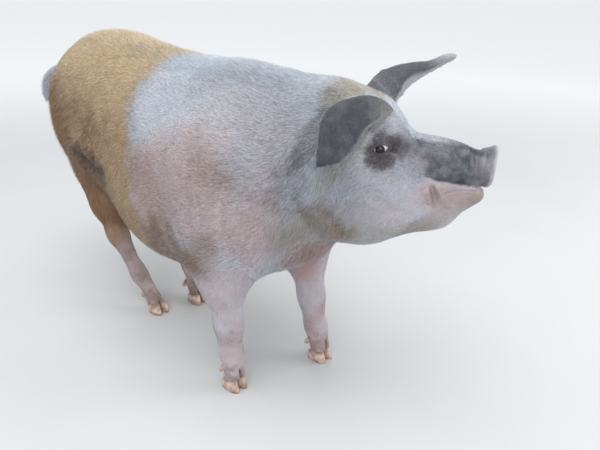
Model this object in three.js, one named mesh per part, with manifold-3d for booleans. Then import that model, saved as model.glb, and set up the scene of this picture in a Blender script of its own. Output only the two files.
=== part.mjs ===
// A standing pig, life size, as a still model: smooth flesh solids, hooves, dewclaws and eyes.
// Millimetres. The pig faces +X with its left side at +Y and up at +Z, and stands on the floor at Z = 0.
import * as THREE from "three";
import { mergeVertices } from "three/addons/utils/BufferGeometryUtils.js";
import Module from "manifold-3d";

const wasm = await Module();
wasm.setup();

// ---- Driving dimensions -------------------------------------------------------------------

const GAP = 0.3; // thin cut between two neighbouring solids
const SLIVER = 0.04; // edges shorter than this, left by the cuts, are closed up
const RIGHT = -1;
const LEFT = 1;

// Cell sizes of the faceted surface, coarse on the trunk and fine on the face.
const TRUNK_CELL = 46;
const NECK_CELL = 32;
const HEAD_CELL = 22;
const UPPER_LEG_CELL = 28;
const LOWER_LEG_CELL = 19.5;

// Trunk, from the rump at its rear end to the breast at its front end. Each list gives values at
// stations along X. WIDEST_LEVEL is a share of the depth, from the belly line up.
const RUMP_X = -632;
const BREAST_X = 376;
const BACK_LINE = [
  [-630, 690], [-500, 716], [-400, 726], [-300, 719], [-200, 703], [-80, 692], [80, 690], [220, 688],
  [380, 664],
];
const BELLY_LINE = [
  [-630, 440], [-500, 405], [-380, 355], [-240, 296], [-150, 262], [-80, 238], [0, 224], [80, 220],
  [220, 248], [380, 320],
];
const HALF_WIDTH = [
  [-630, 116], [-500, 140], [-380, 156], [-240, 162], [-150, 169], [-80, 182], [0, 196], [80, 200],
  [220, 180], [380, 144],
];
const WIDEST_LEVEL = [
  [-630, 0.5], [-380, 0.45], [-240, 0.41], [-80, 0.33], [80, 0.3], [220, 0.38], [380, 0.46],
];
const SPINE_BEND = [[-630, 34], [-400, 12], [-200, 0], [380, 0]]; // the rump bends towards the left
const BACK_ROUNDNESS = 2.3; // exponents of the cross-section above and below the widest level
const BELLY_ROUNDNESS = 2.3;
const TRUNK_END_ROUNDNESS = 2.5; // exponent of the outline towards each end

// Head: its frame sits between the eyes, level, and turned towards the pig's left.
const HEAD_AT = new THREE.Vector3(472, 95, 579);
const HEAD_TURN = THREE.MathUtils.degToRad(34);
const EYE = { forward: 3, side: 76, up: 2, radius: 13 };
const MOUTH = { corner: 112, corner_up: -100, front: 200, front_up: -82, gap: 0.8 };
const SNOUT = { back: 187, rim: 204, face: 211, half_width: 32, half_height: 40, up: -38 };
const NOSTRIL = { side: 12.5, up: 2, radius: 6.5, depth: 15 };

// Each foot has two hooves on the floor and two dewclaws above and behind them.
const HOOF = { length: 50, width: 22, height: 31, heel_height: 20, split: 2.5, rake: 11 };
const DEWCLAW = { back: 28, side: 15, up: 43, length: 22, radius: 7.5 };

// ---- Small tools for the shape functions ----------------------------------------------------

const at = (x, y, z) => new THREE.Vector3(x, y, z);

// A smooth curve through [station, value] pairs, as a function of the station.
function throughStations(pairs) {
  const slope = pairs.map((pair, i) => {
    const a = pairs[Math.max(i - 1, 0)];
    const b = pairs[Math.min(i + 1, pairs.length - 1)];
    return (b[1] - a[1]) / (b[0] - a[0]);
  });
  return (x) => {
    const last = pairs.length - 1;
    if (x <= pairs[0][0]) return pairs[0][1];
    if (x >= pairs[last][0]) return pairs[last][1];
    const i = pairs.findIndex((pair) => pair[0] > x) - 1;
    const [x0, y0] = pairs[i];
    const [x1, y1] = pairs[i + 1];
    const span = x1 - x0;
    const t = (x - x0) / span;
    const s = t * t * (3 - 2 * t);
    const bend = t * (1 - t) * span;
    return y0 + (y1 - y0) * s + bend * ((1 - t) * slope[i] - t * slope[i + 1]);
  };
}

// Shape functions take a point and give about its distance from a surface, negative inside.

function ellipsoid(centre, radii) {
  const q = at(0, 0, 0);
  return (p) => {
    q.subVectors(p, centre).divide(radii);
    const k = q.length();
    const steepness = q.divide(radii).length();
    return steepness < 1e-9 ? -Math.min(radii.x, radii.y, radii.z) : (k * (k - 1)) / steepness;
  };
}

// A limb segment: a cone with round ends, from radius ra at a to radius rb at b.
// flat over 1 makes it deeper than it is wide, along X and Z.
function segment(a, ra, b, rb, flat = 1) {
  const axis = at(0, 0, 0).subVectors(b, a);
  const lengthSq = axis.lengthSq();
  const q = at(0, 0, 0);
  return (p) => {
    q.subVectors(p, a);
    const t = THREE.MathUtils.clamp(q.dot(axis) / lengthSq, 0, 1);
    q.addScaledVector(axis, -t);
    const radius = ra + (rb - ra) * t;
    return Math.hypot(q.x / flat, q.y, q.z / flat) - radius;
  };
}

// Several segments through joints, each joint { at, r }.
const limb = (joints, flat = 1) =>
  joints.slice(1).map((joint, i) => segment(joints[i].at, joints[i].r, joint.at, joint.r, flat));

function smoothMin(a, b, blend) {
  const h = Math.max(blend - Math.abs(a - b), 0) / blend;
  return Math.min(a, b) - (h * h * blend) / 4;
}

// The union of shapes with soft fillets of about the given size between them.
const merged = (blend, ...shapes) => (p) =>
  shapes.reduce((sum, shape) => smoothMin(sum, shape(p), blend), 1e6);

// A shape described in a turned and moved frame.
function placed(shape, matrix) {
  const inverse = matrix.clone().invert();
  const q = at(0, 0, 0);
  return (p) => shape(q.copy(p).applyMatrix4(inverse));
}

// ---- From a shape function to a closed faceted solid ------------------------------------------

// Steps a point along the slope of the shape function until it lies on the surface.
function ontoSurface(shape, p, reach) {
  const e = 0.5;
  const slope = at(0, 0, 0);
  const q = at(0, 0, 0);
  const start = p.clone();
  for (let pass = 0; pass < 5; pass++) {
    const value = shape(p);
    slope.set(
      shape(q.copy(p).setX(p.x + e)) - shape(q.copy(p).setX(p.x - e)),
      shape(q.copy(p).setY(p.y + e)) - shape(q.copy(p).setY(p.y - e)),
      shape(q.copy(p).setZ(p.z + e)) - shape(q.copy(p).setZ(p.z - e)),
    ).divideScalar(2 * e);
    const steepness = slope.lengthSq();
    if (steepness < 1e-6) break;
    p.addScaledVector(slope, -value / steepness);
  }
  return p.distanceTo(start) > reach ? start : p;
}

const BOX_CORNERS = [...Array(8).keys()].map((c) => [c & 1, (c >> 1) & 1, (c >> 2) & 1]);

// A net of quads over the cells that the surface crosses, inside box. Where the shape reaches
// the box, the net closes along the box's side.
function surfaceOf(shape, box, cell) {
  const size = box.getSize(at(0, 0, 0));
  const counts = size.toArray().map((side) => Math.ceil(side / cell) + 2);
  const [nx, ny, nz] = counts;
  const corner = (i, j, k) =>
    at(box.min.x + (i - 0.5) * cell, box.min.y + (j - 0.5) * cell, box.min.z + (k - 0.5) * cell);
  const values = new Float64Array((nx + 1) * (ny + 1) * (nz + 1));
  const index = (i, j, k) => (k * (ny + 1) + j) * (nx + 1) + i;
  for (let k = 0; k <= nz; k++)
    for (let j = 0; j <= ny; j++)
      for (let i = 0; i <= nx; i++) {
        const rim = i === 0 || j === 0 || k === 0 || i === nx || j === ny || k === nz;
        values[index(i, j, k)] = rim ? cell : shape(corner(i, j, k));
      }
  const netPoint = new Map();
  const positions = [];
  const edges = [];
  for (let c = 0; c < 8; c++)
    for (let axis = 0; axis < 3; axis++) if (!(c & (1 << axis))) edges.push([c, c | (1 << axis)]);
  for (let k = 0; k < nz; k++)
    for (let j = 0; j < ny; j++)
      for (let i = 0; i < nx; i++) {
        const corners = BOX_CORNERS.map(([m, n, o]) => [i + m, j + n, k + o]);
        const value = corners.map((c) => values[index(...c)]);
        const inside = value.filter((v) => v < 0).length;
        if (inside === 0 || inside === 8) continue;
        const mean = at(0, 0, 0);
        let crossings = 0;
        for (const [a, b] of edges) {
          if (value[a] < 0 === value[b] < 0) continue;
          mean.add(corner(...corners[a]).lerp(corner(...corners[b]), value[a] / (value[a] - value[b])));
          crossings++;
        }
        const p = ontoSurface(shape, mean.divideScalar(crossings), cell * 0.6);
        netPoint.set(index(i, j, k), positions.length / 3);
        positions.push(p.x, p.y, p.z);
      }
  const faces = [];
  const unit = [[1, 0, 0], [0, 1, 0], [0, 0, 1]];
  for (let k = 0; k < nz; k++)
    for (let j = 0; j < ny; j++)
      for (let i = 0; i < nx; i++)
        for (let axis = 0; axis < 3; axis++) {
          const a = values[index(i, j, k)];
          const step = unit[axis];
          const b = values[index(i + step[0], j + step[1], k + step[2])];
          if (a < 0 === b < 0) continue;
          const u = unit[(axis + 1) % 3];
          const v = unit[(axis + 2) % 3];
          const quad = [[0, 0], [1, 0], [1, 1], [0, 1]].map(([m, n]) =>
            netPoint.get(index(i - m * u[0] - n * v[0], j - m * u[1] - n * v[1], k - m * u[2] - n * v[2])));
          if (a >= 0) quad.reverse();
          const netAt = (n) => at(...positions.slice(3 * n, 3 * n + 3));
          const far = (m, n) => netAt(m).distanceTo(netAt(n));
          const [q0, q1, q2, q3] = quad;
          if (far(q0, q2) < far(q1, q3)) faces.push(q0, q1, q2, q0, q2, q3);
          else faces.push(q1, q2, q3, q1, q3, q0);
        }
  const made = new THREE.BufferGeometry();
  made.setAttribute("position", new THREE.Float32BufferAttribute(positions, 3));
  made.setIndex(faces);
  return made;
}

// A closed geometry as a solid that can be cut and joined.
function solid(geometry) {
  const plain = geometry.clone();
  for (const name of ["normal", "uv"]) plain.deleteAttribute(name);
  const whole = mergeVertices(plain, 1e-3);
  return new wasm.Manifold(
    new wasm.Mesh({
      numProp: 3,
      vertProperties: new Float32Array(whole.attributes.position.array),
      triVerts: new Uint32Array(whole.index.array),
    }),
  );
}

function geometryOf(manifold) {
  const mesh = manifold.getMesh();
  const made = new THREE.BufferGeometry();
  made.setAttribute("position", new THREE.BufferAttribute(new Float32Array(mesh.vertProperties), 3));
  made.setIndex(new THREE.BufferAttribute(new Uint32Array(mesh.triVerts), 1));
  made.computeVertexNormals();
  return made;
}

// The largest body of a solid, without the crumbs that a cut can leave.
const largest = (manifold) =>
  manifold.decompose().reduce((best, body) => (body.volume() > best.volume() ? body : best));

// ---- Plain solids for cutting, and lofted small parts ------------------------------------------------

// A flat-sided block over an outline in the plane of two axes, from low to high along the third.
// across is "x" for an outline of (y, z) pairs and "y" for an outline of (x, z) pairs.
function block(outline, across, low, high) {
  const shape = new THREE.Shape(outline.map(([a, b]) => new THREE.Vector2(a, b)));
  const made = new THREE.ExtrudeGeometry(shape, { depth: high - low, bevelEnabled: false });
  made.translate(0, 0, low);
  const swap = new THREE.Matrix4();
  if (across === "x") swap.makeBasis(at(0, 1, 0), at(0, 0, 1), at(1, 0, 0));
  else swap.makeBasis(at(1, 0, 0), at(0, 0, 1), at(0, -1, 0));
  return solid(made.applyMatrix4(swap));
}

// A closed loft through rings of points, all with the same even count. Each end is closed by a strip
// between the two halves of its ring, so a ring may be round or a bent band.
function loft(rings) {
  const count = rings[0].length;
  const faces = [];
  const quad = (a, b, c, d) => faces.push(a, b, c, a, c, d);
  for (let i = 0; i + 1 < rings.length; i++)
    for (let j = 0; j < count; j++) {
      const k = (j + 1) % count;
      quad(i * count + j, i * count + k, (i + 1) * count + k, (i + 1) * count + j);
    }
  const end = (rings.length - 1) * count;
  for (let j = 0; j + 2 <= count / 2; j++) {
    quad(count - 1 - j, count - 2 - j, j + 1, j);
    quad(end + j, end + j + 1, end + count - 2 - j, end + count - 1 - j);
  }
  const made = new THREE.BufferGeometry();
  const positions = rings.flat().flatMap((p) => p.toArray());
  made.setAttribute("position", new THREE.Float32BufferAttribute(positions, 3));
  made.setIndex(faces);
  return made;
}

// A round bar along a curve, with the radius at each share of its length.
function taperedBar(points, radiusAt, steps, sides) {
  const curve = new THREE.CatmullRomCurve3(points);
  const frames = curve.computeFrenetFrames(steps, false);
  const rings = [];
  for (let i = 0; i <= steps; i++) {
    const centre = curve.getPointAt(i / steps);
    const ring = [];
    for (let j = 0; j < sides; j++) {
      const angle = (j / sides) * 2 * Math.PI;
      const out = frames.normals[i].clone().multiplyScalar(Math.cos(angle));
      out.addScaledVector(frames.binormals[i], Math.sin(angle));
      ring.push(centre.clone().addScaledVector(out, radiusAt(i / steps)));
    }
    rings.push(ring);
  }
  return loft(rings);
}

// ---- Trunk -------------------------------------------------------------------------------------

function barrel() {
  const back = throughStations(BACK_LINE);
  const belly = throughStations(BELLY_LINE);
  const halfWidth = throughStations(HALF_WIDTH);
  const widest = throughStations(WIDEST_LEVEL);
  const bend = throughStations(SPINE_BEND);
  const middle = (RUMP_X + BREAST_X) / 2;
  const reach = (BREAST_X - RUMP_X) / 2;
  return (p) => {
    const top = back(p.x);
    const bottom = belly(p.x);
    const level = bottom + (top - bottom) * widest(p.x);
    const half = halfWidth(p.x);
    const depth = p.z > level ? top - level : level - bottom;
    const roundness = p.z > level ? BACK_ROUNDNESS : BELLY_ROUNDNESS;
    const across = Math.abs(p.y - bend(p.x)) / half;
    const upright = Math.abs(p.z - level) / depth;
    const section = (across ** roundness + upright ** roundness) ** (1 / roundness);
    const along = Math.abs(p.x - middle) / reach;
    const r = (section ** TRUNK_END_ROUNDNESS + along ** TRUNK_END_ROUNDNESS) ** (1 / TRUNK_END_ROUNDNESS);
    return (r - 1) * Math.min(half, depth);
  };
}

const hamMass = (side) => ellipsoid(at(-412, 14 + 74 * side, 480), at(150, 76, 155));
const stifleMass = (side) => ellipsoid(at(-318, 6 + 70 * side, 360), at(84, 54, 100));
const shoulderMass = (side) => ellipsoid(at(222, 106 * side, 420), at(150, 68, 175));
const brisket = ellipsoid(at(290, 10, 368), at(100, 106, 92));

const trunkShape = merged(
  60,
  barrel(),
  brisket,
  ...[RIGHT, LEFT].flatMap((side) => [hamMass(side), stifleMass(side), shoulderMass(side)]),
);

// ---- Neck and head -------------------------------------------------------------------------------

const headMatrix = new THREE.Matrix4().makeRotationZ(HEAD_TURN).setPosition(HEAD_AT);
const fromHead = (forward, side, up) => at(forward, side, up).applyMatrix4(headMatrix);

const neckShape = merged(
  90,
  segment(at(220, 8, 476), 180, fromHead(-110, 0, -66), 122),
  segment(at(90, 4, 566), 96, fromHead(-105, 0, 18), 88),
);

function headShapeLocal() {
  const pair = (shape) => [RIGHT, LEFT].map((side) => shape(side));
  return merged(
    34,
    ellipsoid(at(-50, 0, -8), at(92, 71, 88)),
    ellipsoid(at(-12, 0, 34), at(40, 58, 42)),
    segment(at(20, 0, -36), 62, at(120, 0, -38), 41),
    segment(at(110, 0, -38), 41, at(192, 0, -42), 33),
    segment(at(-10, 0, -136), 74, at(109, 0, -122), 44),
    segment(at(109, 0, -122), 44, at(174, 0, -90), 25),
    ...pair((side) => ellipsoid(at(-30, 54 * side, -98), at(100, 49, 90))),
    ...pair((side) => ellipsoid(at(4, 46 * side, 14), at(34, 22, 26))),
    ...pair((side) => ellipsoid(at(60, 34 * side, -62), at(64, 30, 42))),
  );
}

const headShape = placed(headShapeLocal(), headMatrix);

// ---- Ears -------------------------------------------------------------------------------------------

// Each ear is a cupped leaf in the head's frame. Its rows run from the root to the tip, and each is bent
// through three points: the inner edge, the ridge of its back, and the outer edge.
const EARS = {
  ear_right: [
    [at(14, -12, 46), at(-16, -24, 54), at(-50, -24, 46)],
    [at(14, -34, 58), at(-12, -46, 80), at(-60, -52, 72)],
    [at(0, -68, 54), at(-36, -82, 82), at(-86, -86, 72)],
    [at(-24, -102, 38), at(-60, -118, 62), at(-101, -120, 50)],
    [at(-36, -124, 14), at(-72, -140, 31), at(-101, -138, 18)],
    [at(-54, -140, -6), at(-80, -147, -3), at(-101, -146, -12)],
    [at(-73, -145, -14), at(-88, -148, -17), at(-99, -147, -20)],
  ],
  ear_left: [
    [at(4, 24, 40), at(-42, 34, 76), at(0, 60, 22)],
    [at(17, 46, 76), at(-22, 52, 106), at(18, 96, 60)],
    [at(30, 68, 100), at(8, 78, 121), at(38, 118, 82)],
    [at(50, 90, 115), at(42, 102, 127), at(58, 138, 96)],
    [at(76, 111, 122), at(74, 122, 130), at(82, 148, 110)],
    [at(104, 131, 136), at(105, 138, 143), at(106, 154, 125)],
    [at(121, 145, 141), at(123, 149, 143), at(124, 153, 136)],
  ],
};
const EAR_THICKNESS = { root: 11, tip: 5, edge: 0.55 };
const EAR_STEPS = { along: 10, across: 5 };
const EAR_ROOM = 0.6; // space round an ear's root in the head

// The middle surface of an ear at a share of its length and from -1 to 1 across, and its thickness there.
function earSurface(rows) {
  const [inner, ridge, outer] = [0, 1, 2].map((i) => new THREE.CatmullRomCurve3(rows.map((row) => row[i])));
  return (t, v) => {
    const p = at(0, 0, 0);
    p.addScaledVector(inner.getPoint(t), (v * (v - 1)) / 2);
    p.addScaledVector(ridge.getPoint(t), 1 - v * v);
    return p.addScaledVector(outer.getPoint(t), (v * (v + 1)) / 2);
  };
}

// An ear as a closed solid, swollen on all sides by grow.
function earGeometry(rows, grow) {
  const surface = earSurface(rows);
  const e = 0.01;
  const rings = [];
  for (let i = 0; i <= EAR_STEPS.along; i++) {
    const t = i / EAR_STEPS.along;
    const thick = THREE.MathUtils.lerp(EAR_THICKNESS.root, EAR_THICKNESS.tip, Math.sqrt(t));
    const face = (sign) => {
      const row = [];
      for (let j = 0; j <= EAR_STEPS.across; j++) {
        const v = (j / EAR_STEPS.across) * 2 - 1;
        const [tLow, tHigh] = [Math.max(t - e, 0), Math.min(t + e, 1)];
        const along = surface(tHigh, v).sub(surface(tLow, v));
        const across = surface(t, v + e).sub(surface(t, v - e));
        const back = at(0, 0, 0).crossVectors(across, along).normalize();
        const edge = 1 - (1 - EAR_THICKNESS.edge) * v * v;
        const p = surface(t, v).addScaledVector(back, sign * ((thick * edge) / 2 + grow));
        if (i === 0) p.addScaledVector(along.normalize(), -grow);
        if (Math.abs(v) === 1) p.addScaledVector(across.normalize(), v * grow);
        row.push(p);
      }
      return row;
    };
    rings.push([...face(1), ...face(-1).reverse()]);
  }
  return loft(rings).applyMatrix4(headMatrix);
}

// ---- Legs ------------------------------------------------------------------------------------------

// Each leg runs through its joints from the body down to the pastern, above two hooves that stand on the
// floor. foot is the middle between the toes' tips and heels, and heading turns the foot to the left.
const LEGS = {
  foreleg_right: {
    side: RIGHT,
    foot: at(272, -109, 0),
    heading: 4,
    joints: [
      { at: at(226, -122, 330), r: 60 },
      { at: at(246, -118, 256), r: 43 },
      { at: at(256, -112, 158), r: 28 },
      { at: at(258, -109, 86), r: 22 },
      { at: at(272, -109, 36), r: 25 },
    ],
  },
  foreleg_left: {
    side: LEFT,
    foot: at(324, 114, 0),
    heading: 6,
    joints: [
      { at: at(244, 112, 330), r: 60 },
      { at: at(266, 110, 256), r: 43 },
      { at: at(290, 110, 158), r: 28 },
      { at: at(304, 112, 86), r: 22 },
      { at: at(322, 113, 36), r: 25 },
    ],
  },
  hindleg_right: {
    side: RIGHT,
    foot: at(-124, -57, 0),
    heading: 6,
    joints: [
      { at: at(-350, -75, 360), r: 54 },
      { at: at(-292, -92, 276), r: 40 },
      { at: at(-238, -97, 205), r: 25 },
      { at: at(-184, -74, 96), r: 19 },
      { at: at(-140, -60, 36), r: 23 },
    ],
  },
  hindleg_left: {
    side: LEFT,
    foot: at(-98, 55, 0),
    heading: 4,
    joints: [
      { at: at(-332, 92, 360), r: 54 },
      { at: at(-270, 98, 276), r: 40 },
      { at: at(-214, 94, 205), r: 25 },
      { at: at(-158, 70, 96), r: 19 },
      { at: at(-114, 56, 36), r: 23 },
    ],
  },
};
const LEG_DEEPER = 1.12; // a leg is a little deeper from front to back than it is wide
const KNEE_CUT_ABOVE = 12; // a leg is parted this far above the middle of its knee or hock

const legShape = (leg) => merged(26, ...limb(leg.joints, LEG_DEEPER));

// A point of a foot: forward along its heading, out to its left, and up from the floor. It is measured
// from the middle between the hooves, or from the given origin on the floor.
function fromFoot(leg, forward, side, up, origin = leg.foot) {
  const turn = THREE.MathUtils.degToRad(leg.heading);
  return at(forward, side, up).applyAxisAngle(at(0, 0, 1), turn).add(origin);
}

// The height of the coronet, where the skin ends above a hoof. It falls from the front to the heel.
function coronet(forward) {
  const share = (forward + HOOF.length / 2) / HOOF.length;
  return HOOF.heel_height + (HOOF.height - HOOF.heel_height) * share;
}

// One hoof: flat below, straight on the side towards its twin, and raked back from the tip of its toe.
// toe is LEFT or RIGHT.
function hoofGeometry(leg, toe) {
  const sides = 12;
  const rings = [];
  for (const rise of [0, 0.45, 1]) {
    const length = HOOF.length / 2 - (HOOF.rake / 2) * rise;
    const width = (HOOF.width / 2) * (1 - 0.1 * rise);
    const ring = [];
    for (let i = 0; i < sides; i++) {
      const angle = (i / sides) * 2 * Math.PI;
      const squared = (wave) => Math.sign(wave) * Math.abs(wave) ** 0.72;
      const forward = length * squared(Math.cos(angle)) - (HOOF.rake / 2) * rise;
      const pointed = 1 - 0.4 * Math.max(forward / length, 0) ** 3;
      const across = Math.max(width * squared(Math.sin(angle)) * pointed, -width * 0.9) + width;
      ring.push(fromFoot(leg, forward, toe * (HOOF.split / 2 + across), coronet(forward) * rise));
    }
    rings.push(toe === LEFT ? ring : ring.reverse());
  }
  return loft(rings);
}

// A dewclaw hangs behind the pastern. toe is LEFT or RIGHT.
function dewclawGeometry(leg, toe, grow) {
  const { back, side, up, length, radius } = DEWCLAW;
  const pastern = leg.joints[leg.joints.length - 1].at;
  const origin = at(pastern.x, pastern.y, 0);
  const place = (forward, out, rise) => fromFoot(leg, forward - back, toe * out, rise + up, origin);
  const root = place(length * 0.5 + grow, side - 2, length * 0.5 + grow);
  const middle = place(0, side, 0);
  const tip = place(-length * 0.45, side + 2, -length * 0.5);
  const radiusAt = (t) => radius * (1 - 0.55 * t * t) + grow;
  return taperedBar([root, middle, tip], radiusAt, 3, 6);
}

// ---- Tail, snout and eyes ----------------------------------------------------------------------------

// The tail leaves the rump, turns over towards the right and hangs.
const TAIL = [
  at(-596, 31, 577), at(-645, 18, 585), at(-690, -8, 574),
  at(-714, -31, 550), at(-716, -43, 521), at(-704, -46, 493),
];
const TAIL_RADIUS = { root: 14, tip: 6.5 };

function tailGeometry(grow) {
  const start = TAIL[0].clone().addScaledVector(at(0, 0, 0).subVectors(TAIL[1], TAIL[0]).normalize(), -grow);
  const radiusAt = (t) => THREE.MathUtils.lerp(TAIL_RADIUS.root, TAIL_RADIUS.tip, t) + grow;
  return taperedBar([start, ...TAIL.slice(1)], radiusAt, 13, 8);
}

// The snout's disc: an upright oval that flares into a rim behind its face.
function snoutGeometry() {
  const sides = 16;
  const levels = [
    { forward: SNOUT.back, scale: 0.88 },
    { forward: SNOUT.back + 9, scale: 0.92 },
    { forward: SNOUT.rim, scale: 1 },
    { forward: SNOUT.face - 2, scale: 0.96 },
    { forward: SNOUT.face, scale: 0.8 },
  ];
  const rings = levels.map(({ forward, scale }) => {
    const ring = [];
    for (let i = 0; i < sides; i++) {
      const angle = (i / sides) * 2 * Math.PI;
      const side = SNOUT.half_width * scale * Math.cos(angle);
      ring.push(at(forward, side, SNOUT.up + SNOUT.half_height * scale * Math.sin(angle)));
    }
    return ring;
  });
  return loft(rings).applyMatrix4(headMatrix);
}

function nostrilGeometry(side) {
  const made = new THREE.SphereGeometry(1, 8, 6);
  made.scale(NOSTRIL.depth, NOSTRIL.radius, NOSTRIL.radius * 1.25);
  made.translate(SNOUT.face + 1, NOSTRIL.side * side, SNOUT.up + NOSTRIL.up);
  return made.applyMatrix4(headMatrix);
}

function eyeGeometry(side, grow) {
  const made = new THREE.IcosahedronGeometry(EYE.radius + grow, 1);
  made.translate(EYE.forward, EYE.side * side, EYE.up);
  return made.applyMatrix4(headMatrix);
}

// ---- Cutting blocks ----------------------------------------------------------------------------------

// Where each block starts and ends to either side, well clear of the body.
const WIDE = 400;

// The head begins at an upright cut behind the ears and jowls, turned part of the way with the head.
const HEAD_CUT = { at: at(391, 40, 0), turn: THREE.MathUtils.degToRad(24) };
const headBlock = () => turnedBlock([[0, 336], [420, 336], [420, 900], [0, 900]], HEAD_CUT.at, HEAD_CUT.turn);

// The neck begins at a cut in front of the shoulders, sloping forwards as it goes down.
const NECK_CUT = { at: at(330, 0, 0), turn: THREE.MathUtils.degToRad(8) };
const neckBlock = () =>
  turnedBlock([[34, 330], [300, 330], [300, 900], [-28, 900]], NECK_CUT.at, NECK_CUT.turn);

function turnedBlock(outline, origin, turn) {
  const around = new THREE.Matrix4().makeRotationZ(turn).setPosition(origin);
  return block(outline, "y", -WIDE, WIDE).transform(around.elements);
}

const mouthBlock = () => {
  const slope = (MOUTH.front_up - MOUTH.corner_up) / (MOUTH.front - MOUTH.corner);
  const beyond = MOUTH.front + 60;
  const outline = [
    [MOUTH.corner, MOUTH.corner_up],
    [MOUTH.corner - 70, -320],
    [beyond, -320],
    [beyond, MOUTH.corner_up + slope * (beyond - MOUTH.corner)],
  ];
  return block(outline, "y", -WIDE, WIDE).transform(headMatrix.elements);
};

const snoutBlock = () => {
  const [back, front] = [SNOUT.back - GAP, SNOUT.face + 60];
  const outline = [[back, -200], [front, -200], [front, 60], [back, 60]];
  return block(outline, "y", -WIDE, WIDE).transform(headMatrix.elements);
};

// A foreleg is parted from the trunk below the elbow and armpit, over the stretch of X given.
function forelegBlock(leg) {
  const outline = [[44, -20], [56, 248], [140, 312], [WIDE, 352], [WIDE, -20]];
  const placedOutline = outline.map(([side, up]) => [leg.side * side, up]);
  const elbow = leg.joints[0].at.x;
  return block(placedOutline, "x", elbow - 80, elbow + 130);
}

// A hind leg is parted below the ham and stifle.
function hindlegBlock(leg) {
  const stifle = leg.joints[0].at.x + 350;
  const outline = [
    [-490, 300], [-415, 352], [-290, 340], [-226, 290], [-196, 232], [-20, 150], [-20, -20], [-490, -20],
  ];
  const placedOutline = outline.map(([x, up]) => [x + stifle, up]);
  const [low, high] = leg.side === RIGHT ? [-WIDE, -7] : [7, WIDE];
  return block(placedOutline, "y", -high, -low);
}

// The space below the knee or the hock of a leg, square to its run there.
function shankBlock(leg) {
  const reach = 150;
  const { at: knee } = leg.joints[2];
  const top = knee.z + KNEE_CUT_ABOVE;
  return block([[-reach, -60], [reach, -60], [reach, top], [-reach, top]], "y", -reach, reach).translate([
    knee.x, knee.y, 0,
  ]);
}

// The space under the coronet of a foot, where its hooves are.
function hoofBlock(leg) {
  const reach = 150;
  const outline = [[-reach, -60], [reach, -60], [reach, coronet(reach)], [-reach, coronet(-reach)]];
  const turn = THREE.MathUtils.degToRad(leg.heading);
  const around = new THREE.Matrix4().makeRotationZ(turn).setPosition(leg.foot);
  return block(outline, "y", -reach, reach).transform(around.elements);
}

// ---- Whole flesh -------------------------------------------------------------------------------------

const bodyShape = merged(46, merged(70, trunkShape, neckShape), ...Object.values(LEGS).map(legShape));
const fleshShape = merged(40, bodyShape, headShape);

// The flesh inside a box, as a faceted solid.
const fleshIn = (low, high, cell) => solid(surfaceOf(fleshShape, new THREE.Box3(low, high), cell));

// A solid parted by a cutter: what lies inside it and what lies outside, a gap apart. apart is the
// direction that moves the cutter clear of the outer piece.
function part(whole, cutter, apart) {
  const step = apart.clone().setLength(GAP);
  return [whole.intersect(cutter.translate(step.toArray())), whole.subtract(cutter)];
}

// ---- Assembly ----------------------------------------------------------------------------------------

const finish = (color, roughness) => new THREE.MeshStandardMaterial({ color, roughness, metalness: 0 });
const whiteSkin = finish(0xd9c6bd, 0.8);
const gingerSkin = finish(0xb98f63, 0.85);
const greySkin = finish(0x6d6a74, 0.8);
const legSkin = finish(0xc4a598, 0.8);
const snoutSkin = finish(0xb99a94, 0.6);
const horn = finish(0xb09a86, 0.55);
const eyeGloss = finish(0x1c120e, 0.15);

const group = new THREE.Group();

function addNode(name, manifold, material) {
  const mesh = new THREE.Mesh(geometryOf(largest(manifold).simplify(SLIVER)), material);
  mesh.name = name;
  group.add(mesh);
}

const sides = [[RIGHT, "right"], [LEFT, "left"]];
const ears = Object.entries(EARS);

function addHead() {
  const flesh = fleshIn(at(280, -160, 300), at(720, 340, 720), HEAD_CELL);
  let [head] = part(flesh, headBlock(), at(1, 0.4, 0));
  for (const [name, rows] of ears) {
    const ear = solid(earGeometry(rows, 0));
    head = head.subtract(solid(earGeometry(rows, EAR_ROOM))).subtract(ear);
    addNode(name, ear, greySkin);
  }
  const apart = at(Math.cos(HEAD_TURN), Math.sin(HEAD_TURN), -1).setLength(MOUTH.gap);
  const [jaw, upper] = part(head, mouthBlock(), apart);
  addNode("lower_jaw", jaw, whiteSkin);
  head = upper.subtract(snoutBlock());
  let snout = solid(snoutGeometry());
  for (const [side, word] of sides) {
    snout = snout.subtract(solid(nostrilGeometry(side)));
    head = head.subtract(solid(eyeGeometry(side, GAP)));
    addNode(`eye_${word}`, solid(eyeGeometry(side, 0)), eyeGloss);
  }
  addNode("snout", snout, snoutSkin);
  addNode("head", head, whiteSkin);
}

function addNeck() {
  const flesh = fleshIn(at(230, -250, 250), at(560, 250, 760), NECK_CELL);
  const [neck] = part(flesh.subtract(headBlock()), neckBlock(), at(1, 0, 0));
  const earRooms = ears.map(([, rows]) => solid(earGeometry(rows, EAR_ROOM)));
  addNode("neck", earRooms.reduce((left, room) => left.subtract(room), neck), whiteSkin);
}

function addTrunk() {
  let trunk = fleshIn(at(-700, -280, 190), at(470, 280, 780), TRUNK_CELL);
  trunk = trunk.subtract(headBlock()).subtract(neckBlock()).subtract(solid(tailGeometry(GAP)));
  for (const leg of Object.values(LEGS)) trunk = trunk.subtract(legBlock(leg));
  addNode("trunk", trunk, whiteSkin);
  addNode("tail", solid(tailGeometry(0)), gingerSkin);
}

const legBlock = (leg) => (leg.joints[0].at.x > 0 ? forelegBlock(leg) : hindlegBlock(leg));

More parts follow.
